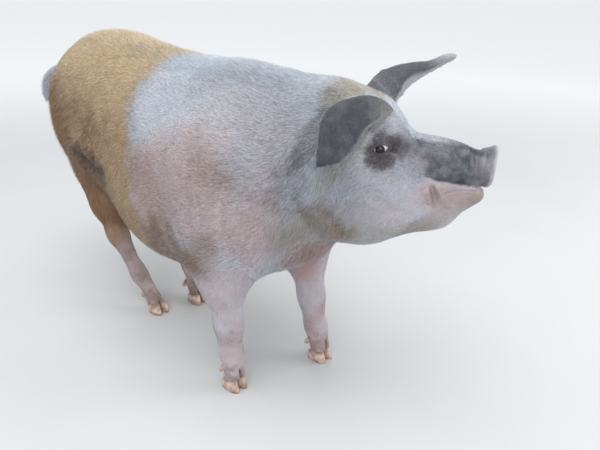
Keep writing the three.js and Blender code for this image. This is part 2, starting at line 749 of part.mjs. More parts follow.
function addLeg(name, leg) {
  const reach = (x, y, z) => leg.foot.clone().add(at(x, y, z));
  const upper = fleshIn(reach(-420, -170, 120), reach(160, 170, 420), UPPER_LEG_CELL);
  const lower = fleshIn(reach(-220, -90, -20), reach(120, 90, 230), LOWER_LEG_CELL);
  const [thigh] = part(upper, legBlock(leg), at(0, leg.side * 0.7, -1));
  addNode(`${name}_upper`, thigh.subtract(shankBlock(leg)), legSkin);
  let skin = lower.intersect(shankBlock(leg).translate([0, 0, -GAP]));
  skin = skin.subtract(hoofBlock(leg).translate([0, 0, GAP]));
  for (const [toe, word] of sides) {
    skin = skin.subtract(solid(dewclawGeometry(leg, toe, GAP)));
    addNode(`${name}_hoof_${word}`, solid(hoofGeometry(leg, toe)), horn);
    addNode(`${name}_dewclaw_${word}`, solid(dewclawGeometry(leg, toe, 0)), horn);
  }
  addNode(`${name}_lower`, skin, legSkin);
}

addTrunk();
addNeck();
addHead();
for (const [name, leg] of Object.entries(LEGS)) addLeg(name, leg);

// The origin is at floor level, under the middle of the whole.
const middle = new THREE.Box3().setFromObject(group).getCenter(at(0, 0, 0));
group.position.set(-middle.x, -middle.y, 0);

export default group;
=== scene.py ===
"""A standing pig, life size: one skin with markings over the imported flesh, bristles, horn and eyes."""

import logging
import math
from dataclasses import dataclass, field
from enum import Enum
from typing import Callable, Iterable, Sequence

import bpy
import numpy as np
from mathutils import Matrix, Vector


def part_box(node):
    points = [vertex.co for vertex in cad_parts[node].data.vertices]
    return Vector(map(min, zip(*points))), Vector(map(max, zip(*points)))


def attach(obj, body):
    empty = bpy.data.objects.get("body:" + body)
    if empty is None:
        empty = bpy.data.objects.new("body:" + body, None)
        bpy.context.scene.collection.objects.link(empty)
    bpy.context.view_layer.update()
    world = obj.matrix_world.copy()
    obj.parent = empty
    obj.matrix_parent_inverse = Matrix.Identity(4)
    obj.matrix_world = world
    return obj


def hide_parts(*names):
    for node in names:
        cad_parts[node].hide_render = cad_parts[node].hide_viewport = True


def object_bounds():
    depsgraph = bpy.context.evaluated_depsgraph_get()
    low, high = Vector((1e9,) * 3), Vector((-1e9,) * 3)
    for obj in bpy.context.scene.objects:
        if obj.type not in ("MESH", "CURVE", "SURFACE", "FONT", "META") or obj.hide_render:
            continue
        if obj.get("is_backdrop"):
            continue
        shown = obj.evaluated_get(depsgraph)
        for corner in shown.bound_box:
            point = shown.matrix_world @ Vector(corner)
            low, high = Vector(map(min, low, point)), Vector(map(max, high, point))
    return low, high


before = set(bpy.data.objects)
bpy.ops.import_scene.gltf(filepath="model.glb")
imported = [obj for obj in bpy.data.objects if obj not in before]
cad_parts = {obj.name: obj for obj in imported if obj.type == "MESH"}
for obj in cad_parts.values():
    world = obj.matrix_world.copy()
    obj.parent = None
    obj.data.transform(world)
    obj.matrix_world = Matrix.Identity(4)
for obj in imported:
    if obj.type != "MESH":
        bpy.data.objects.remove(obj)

import openvdb
from mathutils import Matrix, Vector
from mathutils.kdtree import KDTree

LOG = logging.getLogger("pig")
Array = np.ndarray
MM = 0.001
RIGHT, LEFT = -1, 1
EASE = 0.05  # the length, in metres, over which a spacing changes


# ---- Numbers and small shape tools -------------------------------------------------------------


def srgb(red: int, green: int, blue: int) -> tuple[float, float, float, float]:
    """Turns a screen colour, 0 to 255, into the linear colour that shaders use."""
    linear = (((c / 255 + 0.055) / 1.055) ** 2.4 if c > 10 else c / 3294.6 for c in (red, green, blue))
    return (*linear, 1.0)


def step(low: float, high: float, value: Array) -> Array:
    """A soft step of value from 0 at low to 1 at high, where low may be the larger."""
    share = np.clip((value - low) / (high - low), 0.0, 1.0)
    return share * share * (3.0 - 2.0 * share)


def bump(value: Array, centre: float, width: float) -> Array:
    """A soft hill of value, 1 at centre and almost 0 at two widths from it."""
    return np.exp(-(((value - centre) / width) ** 2))


def soft_min(a: Array, b: Array, blend: float) -> Array:
    """The smaller of two distances, with a fillet of about the given size."""
    near = np.maximum(blend - np.abs(a - b), 0.0) / blend
    return np.minimum(a, b) - near * near * blend / 4.0


def unit(vectors: Array) -> Array:
    """Vectors brought to length 1."""
    return vectors / np.maximum(np.linalg.norm(vectors, axis=-1, keepdims=True), 1e-12)


def dot(a: Array, b: Array) -> Array:
    """The dot products of two lists of vectors."""
    return np.einsum("...i,...i->...", a, b)


def curve_through(points: Array, count: int) -> Array:
    """A smooth curve through points.

    Args:
        points: The points, shape (n, 3).
        count: How many points the curve gets, ends included.

    Returns:
        The curve's points, shape (count, 3).
    """
    padded = np.vstack([2 * points[0] - points[1], points, 2 * points[-1] - points[-2]])
    knots = np.sqrt(np.maximum(np.linalg.norm(np.diff(padded, axis=0), axis=1), 1e-9))
    where = np.linspace(0, len(points) - 1, count)
    i = np.minimum(where.astype(int), len(points) - 2)
    t = (where - i)[:, None]
    before, this, after = knots[i, None], knots[i + 1, None], knots[i + 2, None]
    p0, p1, p2, p3 = (padded[i + k] for k in range(4))
    leave = this * ((p1 - p0) / before - (p2 - p0) / (before + this) + (p2 - p1) / this)
    arrive = this * ((p2 - p1) / this - (p3 - p1) / (this + after) + (p3 - p2) / after)
    a = 2 * p1 - 2 * p2 + leave + arrive
    b = 3 * p2 - 3 * p1 - 2 * leave - arrive
    return ((a * t + b) * t + leave) * t + p1


def along_path(points: Array, path: Array) -> tuple[Array, Array]:
    """Finds how far along a path each point lies.

    Args:
        points: Points, shape (n, 3).
        path: The corners of the path, shape (m, 3).

    Returns:
        The place along the path in corners, and the distance from it.
    """
    best = np.full(len(points), np.inf)
    place = np.zeros(len(points))
    for k in range(len(path) - 1):
        run = path[k + 1] - path[k]
        share = np.clip((points - path[k]) @ run / (run @ run), 0.0, 1.0)
        away = np.linalg.norm(points - path[k] - share[:, None] * run, axis=1)
        nearer = away < best
        best[nearer] = away[nearer]
        place[nearer] = k + share[nearer]
    return place, best


class Clouds:
    """Soft seeded noise in space, between -1 and 1."""

    SIZE = 24

    def __init__(self, seed: int) -> None:
        """Fills the lattice that the noise is read from."""
        self.lattice = np.random.default_rng(seed).uniform(-1.0, 1.0, (self.SIZE,) * 3)

    def at(self, points: Array, size: float, octaves: int = 2) -> Array:
        """Reads the noise.

        Args:
            points: Points, shape (n, 3), in the same unit as size.
            size: The width of the largest clouds.
            octaves: How many layers of ever finer clouds are added.

        Returns:
            One number for each point.
        """
        total = np.zeros(len(points))
        for octave in range(octaves):
            place = points / size * 2.0**octave + 7.3 * octave
            low = np.floor(place).astype(int)
            part = place - low
            part = part * part * (3 - 2 * part)
            layer = np.zeros(len(points))
            for corner in np.ndindex(2, 2, 2):
                weight = np.prod(np.where(corner, part, 1 - part), axis=1)
                i, j, k = ((low + corner) % self.SIZE).T
                layer += weight * self.lattice[i, j, k]
            total += layer * 0.55**octave
        return total


@dataclass(frozen=True)
class LocalFrame:
    """A place with its own forward, left and up, measured in millimetres."""

    origin: Array
    axes: Array  # rows: forward, left, up

    @classmethod
    def turned(cls, origin: Sequence[float], forward: Sequence[float]) -> "LocalFrame":
        """A level frame that faces along the level part of forward."""
        ahead = unit(np.array([forward[0], forward[1], 0.0]))
        return cls(np.array(origin, float), np.array([ahead, [-ahead[1], ahead[0], 0.0], [0.0, 0.0, 1.0]]))

    def into(self, points: Array) -> Array:
        """World points, in metres, as forward, left and up in millimetres."""
        return (points - self.origin) @ self.axes.T / MM

    def out(self, local: Array) -> Array:
        """Forward, left and up in millimetres as world points in metres."""
        return np.asarray(local, float) * MM @ self.axes + self.origin

    def direction(self, local: Array) -> Array:
        """A local direction as a world direction."""
        return np.asarray(local, float) @ self.axes


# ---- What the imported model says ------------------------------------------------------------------


def node_middle(node: str) -> Array:
    """The middle of a CAD node's box."""
    low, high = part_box(node)
    return np.array((low + high) / 2)


def node_triangles(node: str) -> tuple[Array, Array]:
    """A CAD node's points and triangles.

    Args:
        node: The CAD node's name.

    Returns:
        Its points, shape (n, 3), and its triangles, shape (m, 3).
    """
    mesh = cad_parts[node].data
    mesh.calc_loop_triangles()
    points = np.empty(len(mesh.vertices) * 3, np.float32)
    mesh.vertices.foreach_get("co", points)
    corners = np.empty(len(mesh.loop_triangles) * 3, np.int32)
    mesh.loop_triangles.foreach_get("vertices", corners)
    return points.reshape(-1, 3), corners.reshape(-1, 3).astype(np.uint32)


LEG_NAMES = ("foreleg_right", "foreleg_left", "hindleg_right", "hindleg_left")


class Site(Enum):
    """The frame in which a line or patch is given."""

    HEAD = "head"
    BODY = "body"


@dataclass(frozen=True)
class Stance:
    """The frames of the head, body and feet, found from the places of the CAD nodes."""

    eyes_from_head: tuple[float, float, float] = (3.0, 0.0, 2.0)
    head_from_body: tuple[float, float, float] = (472.0, 95.0, 579.0)
    leg_joints: dict[str, tuple[tuple[float, float, float, float], ...]] = field(
        default_factory=lambda: {
            "foreleg_right": ((226, -122, 330, 60), (246, -118, 256, 43), (256, -112, 158, 28),
                              (258, -109, 86, 22), (272, -109, 36, 25)),
            "foreleg_left": ((244, 112, 330, 60), (266, 110, 256, 43), (290, 110, 158, 28),
                             (304, 112, 86, 22), (322, 113, 36, 25)),
            "hindleg_right": ((-350, -75, 360, 54), (-292, -92, 276, 40), (-238, -97, 205, 25),
                              (-184, -74, 96, 19), (-140, -60, 36, 23)),
            "hindleg_left": ((-332, 92, 360, 54), (-270, 98, 276, 40), (-214, 94, 205, 25),
                             (-158, 70, 96, 19), (-114, 56, 36, 23)),
        }
    )

    def head(self) -> LocalFrame:
        """The head's frame, between the eyes and turned with the head."""
        right, left = node_middle("eye_right"), node_middle("eye_left")
        across = left - right
        level = LocalFrame.turned((right + left) / 2, (across[1], -across[0]))
        return LocalFrame(level.out(-np.array(self.eyes_from_head)), level.axes)

    def body(self) -> LocalFrame:
        """The body's frame, on the floor, along the trunk."""
        head = self.head()
        return LocalFrame(head.origin - np.array(self.head_from_body) * MM, np.eye(3))

    def home(self, site: Site) -> LocalFrame:
        """The frame that a site names."""
        return self.head() if site is Site.HEAD else self.body()

    def foot(self, leg: str) -> LocalFrame:
        """A foot's frame, on the floor, between its hooves."""
        right, left = (node_middle(f"{leg}_hoof_{side}") for side in ("right", "left"))
        across = left - right
        middle = (right + left) / 2
        return LocalFrame.turned((middle[0], middle[1], 0.0), (across[1], -across[0]))

    def path(self, leg: str) -> Array:
        """The corners of a leg's middle line, in the body's frame, with the radius as a fourth number."""
        return np.array(self.leg_joints[leg], float)


# ---- Ears and tail as rows of beads --------------------------------------------------------------


@dataclass(frozen=True)
class Ear:
    """A cupped leaf in the head's frame: rows of inner edge, ridge and outer edge from root to tip."""

    name: str
    rows: tuple[tuple[tuple[float, float, float], ...], ...]
    root_thickness: float = 10.0
    tip_thickness: float = 4.4
    edge_share: float = 0.62
    steps_along: int = 120
    steps_across: int = 62

    def surface(self) -> tuple[Array, Array, Array, Array]:
        """Lays out the middle of the ear.

        Returns:
            Points (n, 3) in the head's frame, thickness, share of the length, and place across (-1 to 1).
        """
        rows = np.array(self.rows, float)
        inner, ridge, outer = (curve_through(rows[:, k], self.steps_along) for k in range(3))
        t = np.linspace(0, 1, self.steps_along)[:, None, None]
        v = np.linspace(-1, 1, self.steps_across)[None, :, None]
        points = (inner[:, None] * v * (v - 1) / 2 + ridge[:, None] * (1 - v * v)
                  + outer[:, None] * v * (v + 1) / 2)
        thick = self.root_thickness + (self.tip_thickness - self.root_thickness) * np.sqrt(t)
        thick = thick * (1 - (1 - self.edge_share) * v * v)
        shape = (self.steps_along, self.steps_across)
        flat = (np.broadcast_to(a[..., 0], shape).ravel() for a in (thick, t, v))
        return (points.reshape(-1, 3), *flat)


EARS = (
    Ear(
        "ear_right",
        (
            ((14, -12, 46), (-16, -24, 54), (-50, -24, 46)),
            ((14, -34, 58), (-12, -46, 80), (-60, -52, 72)),
            ((0, -68, 54), (-36, -82, 82), (-86, -86, 72)),
            ((-24, -102, 38), (-60, -118, 62), (-101, -120, 50)),
            ((-36, -124, 14), (-72, -140, 31), (-101, -138, 18)),
            ((-50, -141, -1), (-78, -148, -3), (-101, -146, -12)),
            ((-58, -144, -9), (-81, -148, -15), (-101, -147, -22)),
        ),
    ),
    Ear(
        "ear_left",
        (
            ((4, 24, 40), (-42, 34, 76), (0, 60, 22)),
            ((17, 46, 76), (-22, 52, 106), (18, 96, 60)),
            ((30, 68, 100), (8, 78, 121), (38, 118, 82)),
            ((50, 90, 115), (42, 102, 127), (58, 138, 96)),
            ((76, 111, 122), (74, 122, 130), (82, 148, 110)),
            ((104, 131, 136), (105, 138, 143), (106, 154, 125)),
            ((121, 145, 141), (123, 149, 143), (124, 153, 136)),
        ),
    ),
)


@dataclass(frozen=True)
class Tail:
    """The tail, which leaves the rump, turns over and hangs, in the body's frame."""

    joints: tuple[tuple[float, float, float], ...] = (
        (-596, 31, 577), (-645, 18, 585), (-690, -8, 574),
        (-714, -31, 550), (-716, -43, 521), (-704, -46, 493),
    )
    root_radius: float = 12.5
    tip_radius: float = 5.2
    steps: int = 60

    def path(self) -> Array:
        """Points along the middle of the tail."""
        return curve_through(np.array(self.joints, float), self.steps)

    def radii(self) -> Array:
        """The tail's radius at each point of its path."""
        return np.linspace(self.root_radius, self.tip_radius, self.steps)


# ---- The flesh as a field of distances -----------------------------------------------------------


@dataclass
class Lattice:
    """A box of points on straight lines along X, Y and Z, with a value at each point."""

    lines: tuple[Array, Array, Array]
    values: Array

    def box(self, low: Sequence[float], high: Sequence[float]) -> tuple[slice, slice, slice]:
        """The part of the lattice between two corners."""
        found = [slice(int(np.searchsorted(line, a)), int(np.searchsorted(line, b)))
                 for line, a, b in zip(self.lines, low, high)]
        return (found[0], found[1], found[2])

    def points(self, part: tuple[slice, slice, slice]) -> Array:
        """The world places of a part of the lattice, shape (i, j, k, 3)."""
        return np.stack(np.meshgrid(*(line[s] for line, s in zip(self.lines, part)), indexing="ij"), axis=-1)

    @staticmethod
    def place_on(line: Array, points: Array) -> Array:
        """Where points lie along a line, counted in its own steps."""
        return np.clip(np.interp(points, line, np.arange(len(line))), 0, len(line) - 1.001)

    def read(self, points: Array) -> Array:
        """The values at any points, between the lattice's own.

        Args:
            points: Points, shape (n, 3).

        Returns:
            One value for each.
        """
        place = [self.place_on(line, points[:, a]) for a, line in enumerate(self.lines)]
        low = [p.astype(int) for p in place]
        part = [p - i for p, i in zip(place, low)]
        total = np.zeros(len(points))
        for corner in np.ndindex(2, 2, 2):
            weight = np.prod([p if c else 1 - p for p, c in zip(part, corner)], axis=0)
            total += weight * self.values[tuple(i + c for i, c in zip(low, corner))]
        return total

    def slope(self, points: Array, reach: float = 1.5 * MM) -> Array:
        """The direction in which the values rise."""
        rise = [self.read(points + reach * e) - self.read(points - reach * e) for e in np.eye(3)]
        return np.stack(rise, axis=-1) / (2 * reach)

    def snapped(self, points: Array, rounds: int = 7) -> Array:
        """Moves points along the slope to where the values are zero.

        Args:
            points: World points, shape (n, 3), within some 12 mm of the zero.
            rounds: How often they are moved.

        Returns:
            The moved points.
        """
        for _ in range(rounds):
            slope = self.slope(points, 3 * MM)
            length = np.maximum(np.linalg.norm(slope, axis=1, keepdims=True), 0.3)
            away = np.clip(self.read(points), -12 * MM, 12 * MM)[:, None]
            points = points - away * slope / length**2
        return points

    def on_lines(self, lines: tuple[Array, Array, Array]) -> "Lattice":
        """The same values on other lines.

        Args:
            lines: The other lines along each axis.

        Returns:
            The field on those lines.
        """
        values = self.values
        for axis, (old, new) in enumerate(zip(self.lines, lines)):
            place = self.place_on(old, new)
            low = place.astype(int)
            shape = [1, 1, 1]
            shape[axis] = -1
            part = (place - low).astype(np.float32).reshape(shape)
            values = np.take(values, low, axis) * (1 - part) + np.take(values, low + 1, axis) * part
        return Lattice(lines, values)


def blurred(values: Array, width: float) -> Array:
    """Values smoothed by a bell curve whose width is given in cells.

    Args:
        values: The values on a grid.
        width: The width of the bell curve, in cells.

    Returns:
        The smoothed values, in the same shape.
    """
    reach = int(width * 3) + 1
    weights = np.exp(-0.5 * (np.arange(reach + 1) / width) ** 2)
    weights /= weights[0] + 2 * weights[1:].sum()
    for axis in range(3):
        lined = np.moveaxis(values, axis, 0)
        total = lined * np.float32(weights[0])
        for k in range(1, reach + 1):
            w = np.float32(weights[k])
            total[k:] += w * lined[:-k]
            total[:k] += w * lined[:k]
            total[:-k] += w * lined[k:]
            total[-k:] += w * lined[-k:]
        values = np.moveaxis(total, 0, axis)
    return values


def evened(values: Array, width: float) -> Array:
    """Values smoothed without drawing round forms in: what one blur takes is blurred and put back."""
    once = blurred(values, width)
    return once + blurred(values - once, width)


def spaced_lines(low: float, high: float, fine: float,
                 coarse: float = 0.0, start: float = -math.inf) -> Array:
    """Lines from low to high, from coarse ones to fine ones.

    Args:
        low: Where the first line is.
        high: What the last line reaches.
        fine: The spacing past start.
        coarse: The spacing well before start, to which it eases over EASE.
        start: Where the fine spacing starts.

    Returns:
        The places of the lines.
    """
    lines = [low]
    while lines[-1] < high:
        away = max(start - lines[-1], 0.0)
        lines.append(lines[-1] + fine + (coarse - fine) * min(away / EASE, 1.0))
    return np.array(lines)


@dataclass
class FleshField:
    """The distance from the flesh, made from all CAD nodes, closed over their cuts and smoothed."""

    cell: float = 4.0 * MM
    margin: float = 52.0 * MM
    band: float = 12.0
    closing: float = 0.6 * MM
    wide_blur: float = 18.0 * MM
    fine_blur: float = 6.5 * MM
    mask_blur: float = 16.0 * MM
    broad_nodes: tuple[str, ...] = ("trunk", "neck")  # smoothed by the wide blur

    def build(self) -> Lattice:
        """Makes the field, negative inside the flesh.

        Returns:
            The flesh field.
        """
        low, high = (np.array(corner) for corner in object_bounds())
        first = np.floor((low - self.margin) / self.cell).astype(int)
        last = np.ceil((high + self.margin) / self.cell).astype(int)
        shape = tuple(last - first + 1)
        scale = openvdb.createLinearTransform(voxelSize=self.cell)
        start = tuple(int(v) for v in first)
        union = np.full(shape, 1.0, np.float32)
        fine = np.zeros(shape, np.float32)
        part = np.empty(shape, np.float32)
        for node in sorted(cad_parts):
            points, corners = node_triangles(node)
            grid = openvdb.FloatGrid.createLevelSetFromPolygons(
                points=points, triangles=corners, transform=scale, halfWidth=self.band)
            grid.copyToArray(part, ijk=start)
            nearer = part < union
            union[nearer] = part[nearer]
            fine[nearer] = node not in self.broad_nodes
        grid = openvdb.FloatGrid(self.band * self.cell)
        grid.transform = scale
        grid.copyFromArray(union - np.float32(self.closing), ijk=start)
        points, quads = grid.convertToQuads(0.0)
        grid = openvdb.FloatGrid.createLevelSetFromPolygons(
            points=points, quads=quads, transform=scale, halfWidth=self.band)
        grid.copyToArray(union, ijk=start)
        union += np.float32(self.closing)
        share = blurred(fine, self.mask_blur / self.cell)
        wide = evened(union, self.wide_blur / self.cell)
        near = evened(union, self.fine_blur / self.cell)
        lines = tuple((first[a] + np.arange(shape[a])) * self.cell for a in range(3))
        return Lattice((lines[0], lines[1], lines[2]), wide + (near - wide) * share)


# ---- The skin --------------------------------------------------------------------------------------


@dataclass
class Surface:
    """A mesh of triangles with its normals."""

    points: Array
    corners: Array

    def normals(self) -> Array:
        """A normal at each point, from the triangles round it.

        Returns:
            One unit normal for each point, shape (n, 3).
        """
        a, b, c = (self.points[self.corners[:, k]] for k in range(3))
        face = np.cross(b - a, c - a)
        total = np.zeros_like(self.points)
        for k in range(3):
            for axis in range(3):
                total[:, axis] += np.bincount(self.corners[:, k], face[:, axis], len(self.points))
        return unit(total)

    def refined(self, wanted: Callable[[Array], Array]) -> "Surface":
        """Splits edges in two where they are wanted.

        Args:
            wanted: Says for the middles of edges, shape (n, 3), which are split.

        Returns:
            The finer surface, with its new points last.
        """
        edges = np.sort(np.stack([self.corners, np.roll(self.corners, -1, axis=1)], axis=-1), axis=-1)
        unique, back = np.unique(edges.reshape(-1, 2), axis=0, return_inverse=True)
        middle = self.points[unique].mean(axis=1)
        split = wanted(middle)
        number = np.full(len(unique), -1)
        number[split] = len(self.points) + np.arange(split.sum())
        cut = number[back.reshape(-1)].reshape(-1, 3)  # the new point on each triangle's edges ab, bc and ca
        many = (cut >= 0).sum(axis=1)
        whole = self.corners[many == 0]
        made = [whole]
        three = many == 3
        (a, b, c), (ab, bc, ca) = self.corners[three].T, cut[three].T
        made += [np.stack(t, 1) for t in ((a, ab, ca), (ab, b, bc), (ca, bc, c), (ab, bc, ca))]
        for turn in range(3):
            tri, mid = np.roll(self.corners, -turn, axis=1), np.roll(cut, -turn, axis=1)
            one = (many == 1) & (mid[:, 0] >= 0)
            (a, b, c), ab = tri[one].T, mid[one, 0]
            made += [np.stack((a, ab, c), 1), np.stack((ab, b, c), 1)]
            two = (many == 2) & (mid[:, 2] < 0)
            (a, b, c), (ab, bc, _) = tri[two].T, mid[two].T
            made += [np.stack(t, 1) for t in ((a, ab, c), (ab, bc, c), (ab, b, bc))]
        return Surface(np.vstack([self.points, middle[split]]), np.vstack(made))


@dataclass
class Skin:
    """One skin over all the flesh, without hooves and eyes."""

    stance: Stance
    trunk_depth: float = 2.6 * MM  # how far the skin lies inside the outline of the coat
    fine_depth: float = 1.2 * MM
    coarse_line: float = 5.4 * MM
    fine_line: float = 2.3 * MM
    side_line: float = 2.9 * MM
    head_start: float = 0.405
    ear_blend: float = 9.0 * MM
    tail_blend: float = 16.0 * MM
    # the snout's disc, in millimetres in the head's frame
    disc_middle: tuple[float, float] = (195.0, -38.0)  # forward and up
    disc_half: tuple[float, float] = (31.0, 39.0)  # across and up
    disc_depth: float = 12.0  # half of its thickness
    disc_lean: float = 0.10
    disc_chin: float = 1.10  # how much narrower it is below its middle
    disc_edge: float = 0.87  # where its side is, as a share of its half size
    disc_round: float = 5.0
    disc_blend: float = 7.0
    rim_front: float = 203.5
    rim_radius: float = 4.2
    nostril_middle: tuple[float, float, float] = (212.0, 12.5, 2.0)  # forward, across and up on the disc
    nostril_half: tuple[float, float, float] = (15.0, 5.4, 7.6)
    nostril_blend: float = 3.0
    # the clefts of the feet, in millimetres in the foot's frame
    front_half: float = 3.4
    front_top: float = 54.0
    rear_half: float = 3.0
    rear_top: float = 44.0
    rear_start: float = -12.0
    cleft_blend: float = 4.0
    coronet_blend: float = 2.0

    def field(self, flesh: Lattice) -> Lattice:
        """The skin's own distances: flesh, ears, tail, disc and the cuts at the hooves.

        Args:
            flesh: The field of the flesh.

        Returns:
            The field of the skin.
        """
        low = [line[0] + 30 * MM for line in flesh.lines]
        high = [line[-1] - 30 * MM for line in flesh.lines]
        lines = (
            spaced_lines(low[0], high[0], self.fine_line, self.coarse_line, self.head_start),
            spaced_lines(low[1], high[1], self.side_line),
            spaced_lines(-12 * MM, high[2], self.side_line),
        )
        made = flesh.on_lines(lines)
        everything = made.points((slice(None),) * 3)[..., 0]
        head_share = step(self.head_start - 0.08, self.head_start + 0.02, everything)
        leg_share = step(0.30, 0.20, lines[2])[None, None, :]
        share = np.maximum(head_share, leg_share)
        made.values = made.values + (self.trunk_depth + (self.fine_depth - self.trunk_depth) * share)
        self.add_ears(made)
        self.add_tail(made)
        self.add_snout(made)
        self.cut_feet(made)
        return made

    def add_beads(self, made: Lattice, centres: Array, radii: Array, blend: float) -> None:
        """Joins a row or sheet of overlapping beads to the skin, with a fillet.

        Args:
            made: The skin's field, which changes.
            centres: The middles of the beads.
            radii: Their radii.
            blend: The radius of the fillet.
        """
        reach = float(radii.max()) + 1.2 * blend
        part = made.box(centres.min(0) - reach, centres.max(0) + reach)
        lines = [line[s] for line, s in zip(made.lines, part)]
        away = np.full([len(line) for line in lines], 1.0)
        lows = [np.searchsorted(line, centres[:, a] - reach) for a, line in enumerate(lines)]
        highs = [np.searchsorted(line, centres[:, a] + reach) for a, line in enumerate(lines)]
        for n, (centre, radius) in enumerate(zip(centres, radii)):
            s = [slice(lows[a][n], highs[a][n]) for a in range(3)]
            squares = [(line[t] - centre[a]) ** 2 for a, (line, t) in enumerate(zip(lines, s))]
            found = np.sqrt(squares[0][:, None, None] + squares[1][None, :, None] + squares[2][None, None, :])
            view = away[s[0], s[1], s[2]]
            np.minimum(view, found - radius, out=view)
        made.values[part] = soft_min(made.values[part], away, blend)

    def add_ears(self, made: Lattice) -> None:
        """Joins the ears to the head.

        Args:
            made: The skin's field, which changes.
        """
        head = self.stance.head()
        for ear in EARS:
            points, thick, share, _ = ear.surface()
            root = share < 0.22
            world = head.out(points)
            radii = thick * MM / 2
            self.add_beads(made, world[~root], radii[~root], 3.0 * MM)
            self.add_beads(made, world[root], radii[root], self.ear_blend)

    def add_tail(self, made: Lattice) -> None:
        """Joins the tail to the rump."""
        tail = Tail()
        world = self.stance.body().out(tail.path())
        self.add_beads(made, world, tail.radii() * MM, self.tail_blend)

    def add_snout(self, made: Lattice) -> None:
        """Adds the snout's disc with its rim, and opens the nostrils.

        Args:
            made: The skin's field, which changes.
        """
        head = self.stance.head()
        low, high = (np.array(c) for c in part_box("snout"))
        part = made.box(low - 30 * MM, high + 14 * MM)
        ahead, side, up = np.moveaxis(head.into(made.points(part)), -1, 0)
        up = up - self.disc_middle[1]
        up = np.where(up < 0, self.disc_chin * up, up)
        around = np.sqrt((side / self.disc_half[0]) ** 2 + (up / self.disc_half[1]) ** 2)
        ahead = ahead - self.disc_lean * up
        mean_half = 34.0
        flare = mean_half * (around - self.disc_edge - 0.03 * step(196, 206, ahead))
        flat = np.abs(ahead - self.disc_middle[0]) - self.disc_depth - 1.5 * step(0.7, 0.0, around)
        soft = self.disc_round
        disc = (np.hypot(np.maximum(flare + soft, 0), np.maximum(flat + soft, 0))
                + np.minimum(np.maximum(flare, flat) + soft, 0) - soft)
        rim = np.hypot(mean_half * (around - self.disc_edge), ahead - self.rim_front) - self.rim_radius
        rim = rim - 2.2 * step(20, 38, up)
        form = soft_min(disc, rim, 3.0) * MM
        values = soft_min(made.values[part], form, self.disc_blend * MM)
        front, aside, over = self.nostril_middle
        deep, wide, tall = self.nostril_half
        for sign in (RIGHT, LEFT):
            out = side * sign - aside - 0.25 * (up - over)
            away = np.sqrt(((ahead - front) / deep) ** 2 + (out / wide) ** 2 + ((up - over) / tall) ** 2)
            hole = (away - 1) * wide * MM
            values = -soft_min(-values, hole, self.nostril_blend * MM)
        made.values[part] = values

    def cut_feet(self, made: Lattice) -> None:
        """Ends the skin at the coronet of each foot.

        Args:
            made: The skin's field, which changes.
        """
        for leg in LEG_NAMES:
            foot = self.stance.foot(leg)
            low, high = np.array([-90.0, -70.0, -1000.0]) * MM, np.array([90.0, 70.0, 75.0]) * MM
            part = made.box(foot.origin + low, foot.origin + high)
            local = foot.into(made.points(part))
            floor = (coronet_height(local[..., 0]) - 2.0 - local[..., 2]) * MM
            ahead, across, up = np.moveaxis(local, -1, 0)
            slim = 2.4 * bump(up, 50.0, 16.0) * (np.abs(across) < 45)
            inside = made.values[part] + slim * MM
            narrow = self.front_half - np.abs(across) - 0.06 * (up - 20)
            front = np.minimum(np.minimum(narrow, self.front_top - up), ahead - 2.0)
            narrow = self.rear_half - np.abs(across)
            rear = np.minimum(np.minimum(narrow, self.rear_top - up), self.rear_start - ahead)
            for cleft in (front, rear):
                inside = -soft_min(-inside, -cleft * MM, self.cleft_blend * MM)
            made.values[part] = -soft_min(-inside, -floor, self.coronet_blend * MM)

    def surface(self, made: Lattice) -> Surface:
        """Turns the field into a mesh of triangles.

        Args:
            made: The skin's field.

        Returns:
            The mesh where the field is 0.
        """
        grid = openvdb.FloatGrid(float(made.values.max()))
        grid.copyFromArray(made.values.astype(np.float32))
        places, quads = grid.convertToQuads(0.0)
        points = np.stack([np.interp(places[:, a], np.arange(len(line)), line)
                           for a, line in enumerate(made.lines)], axis=-1)
        q = quads.astype(np.int64)
        first = np.linalg.norm(points[q[:, 0]] - points[q[:, 2]], axis=1)
        second = np.linalg.norm(points[q[:, 1]] - points[q[:, 3]], axis=1)
        even = first < second
        corners = np.vstack([q[even][:, [0, 1, 2]], q[even][:, [0, 2, 3]],
                             q[~even][:, [0, 1, 3]], q[~even][:, [1, 2, 3]]])
        built = Surface(points, corners)
        slopes = made.slope(points)
        if np.mean(dot(built.normals(), slopes)) < 0:
            built = Surface(points, corners[:, ::-1])
        return built


def coronet_height(ahead: Array) -> Array:
    """The height of a coronet above the floor, in millimetres, at a place along the foot."""
    return 20.0 + 11.0 * (ahead + 25.0) / 50.0


# ---- Eyes and their lids ---------------------------------------------------------------------------


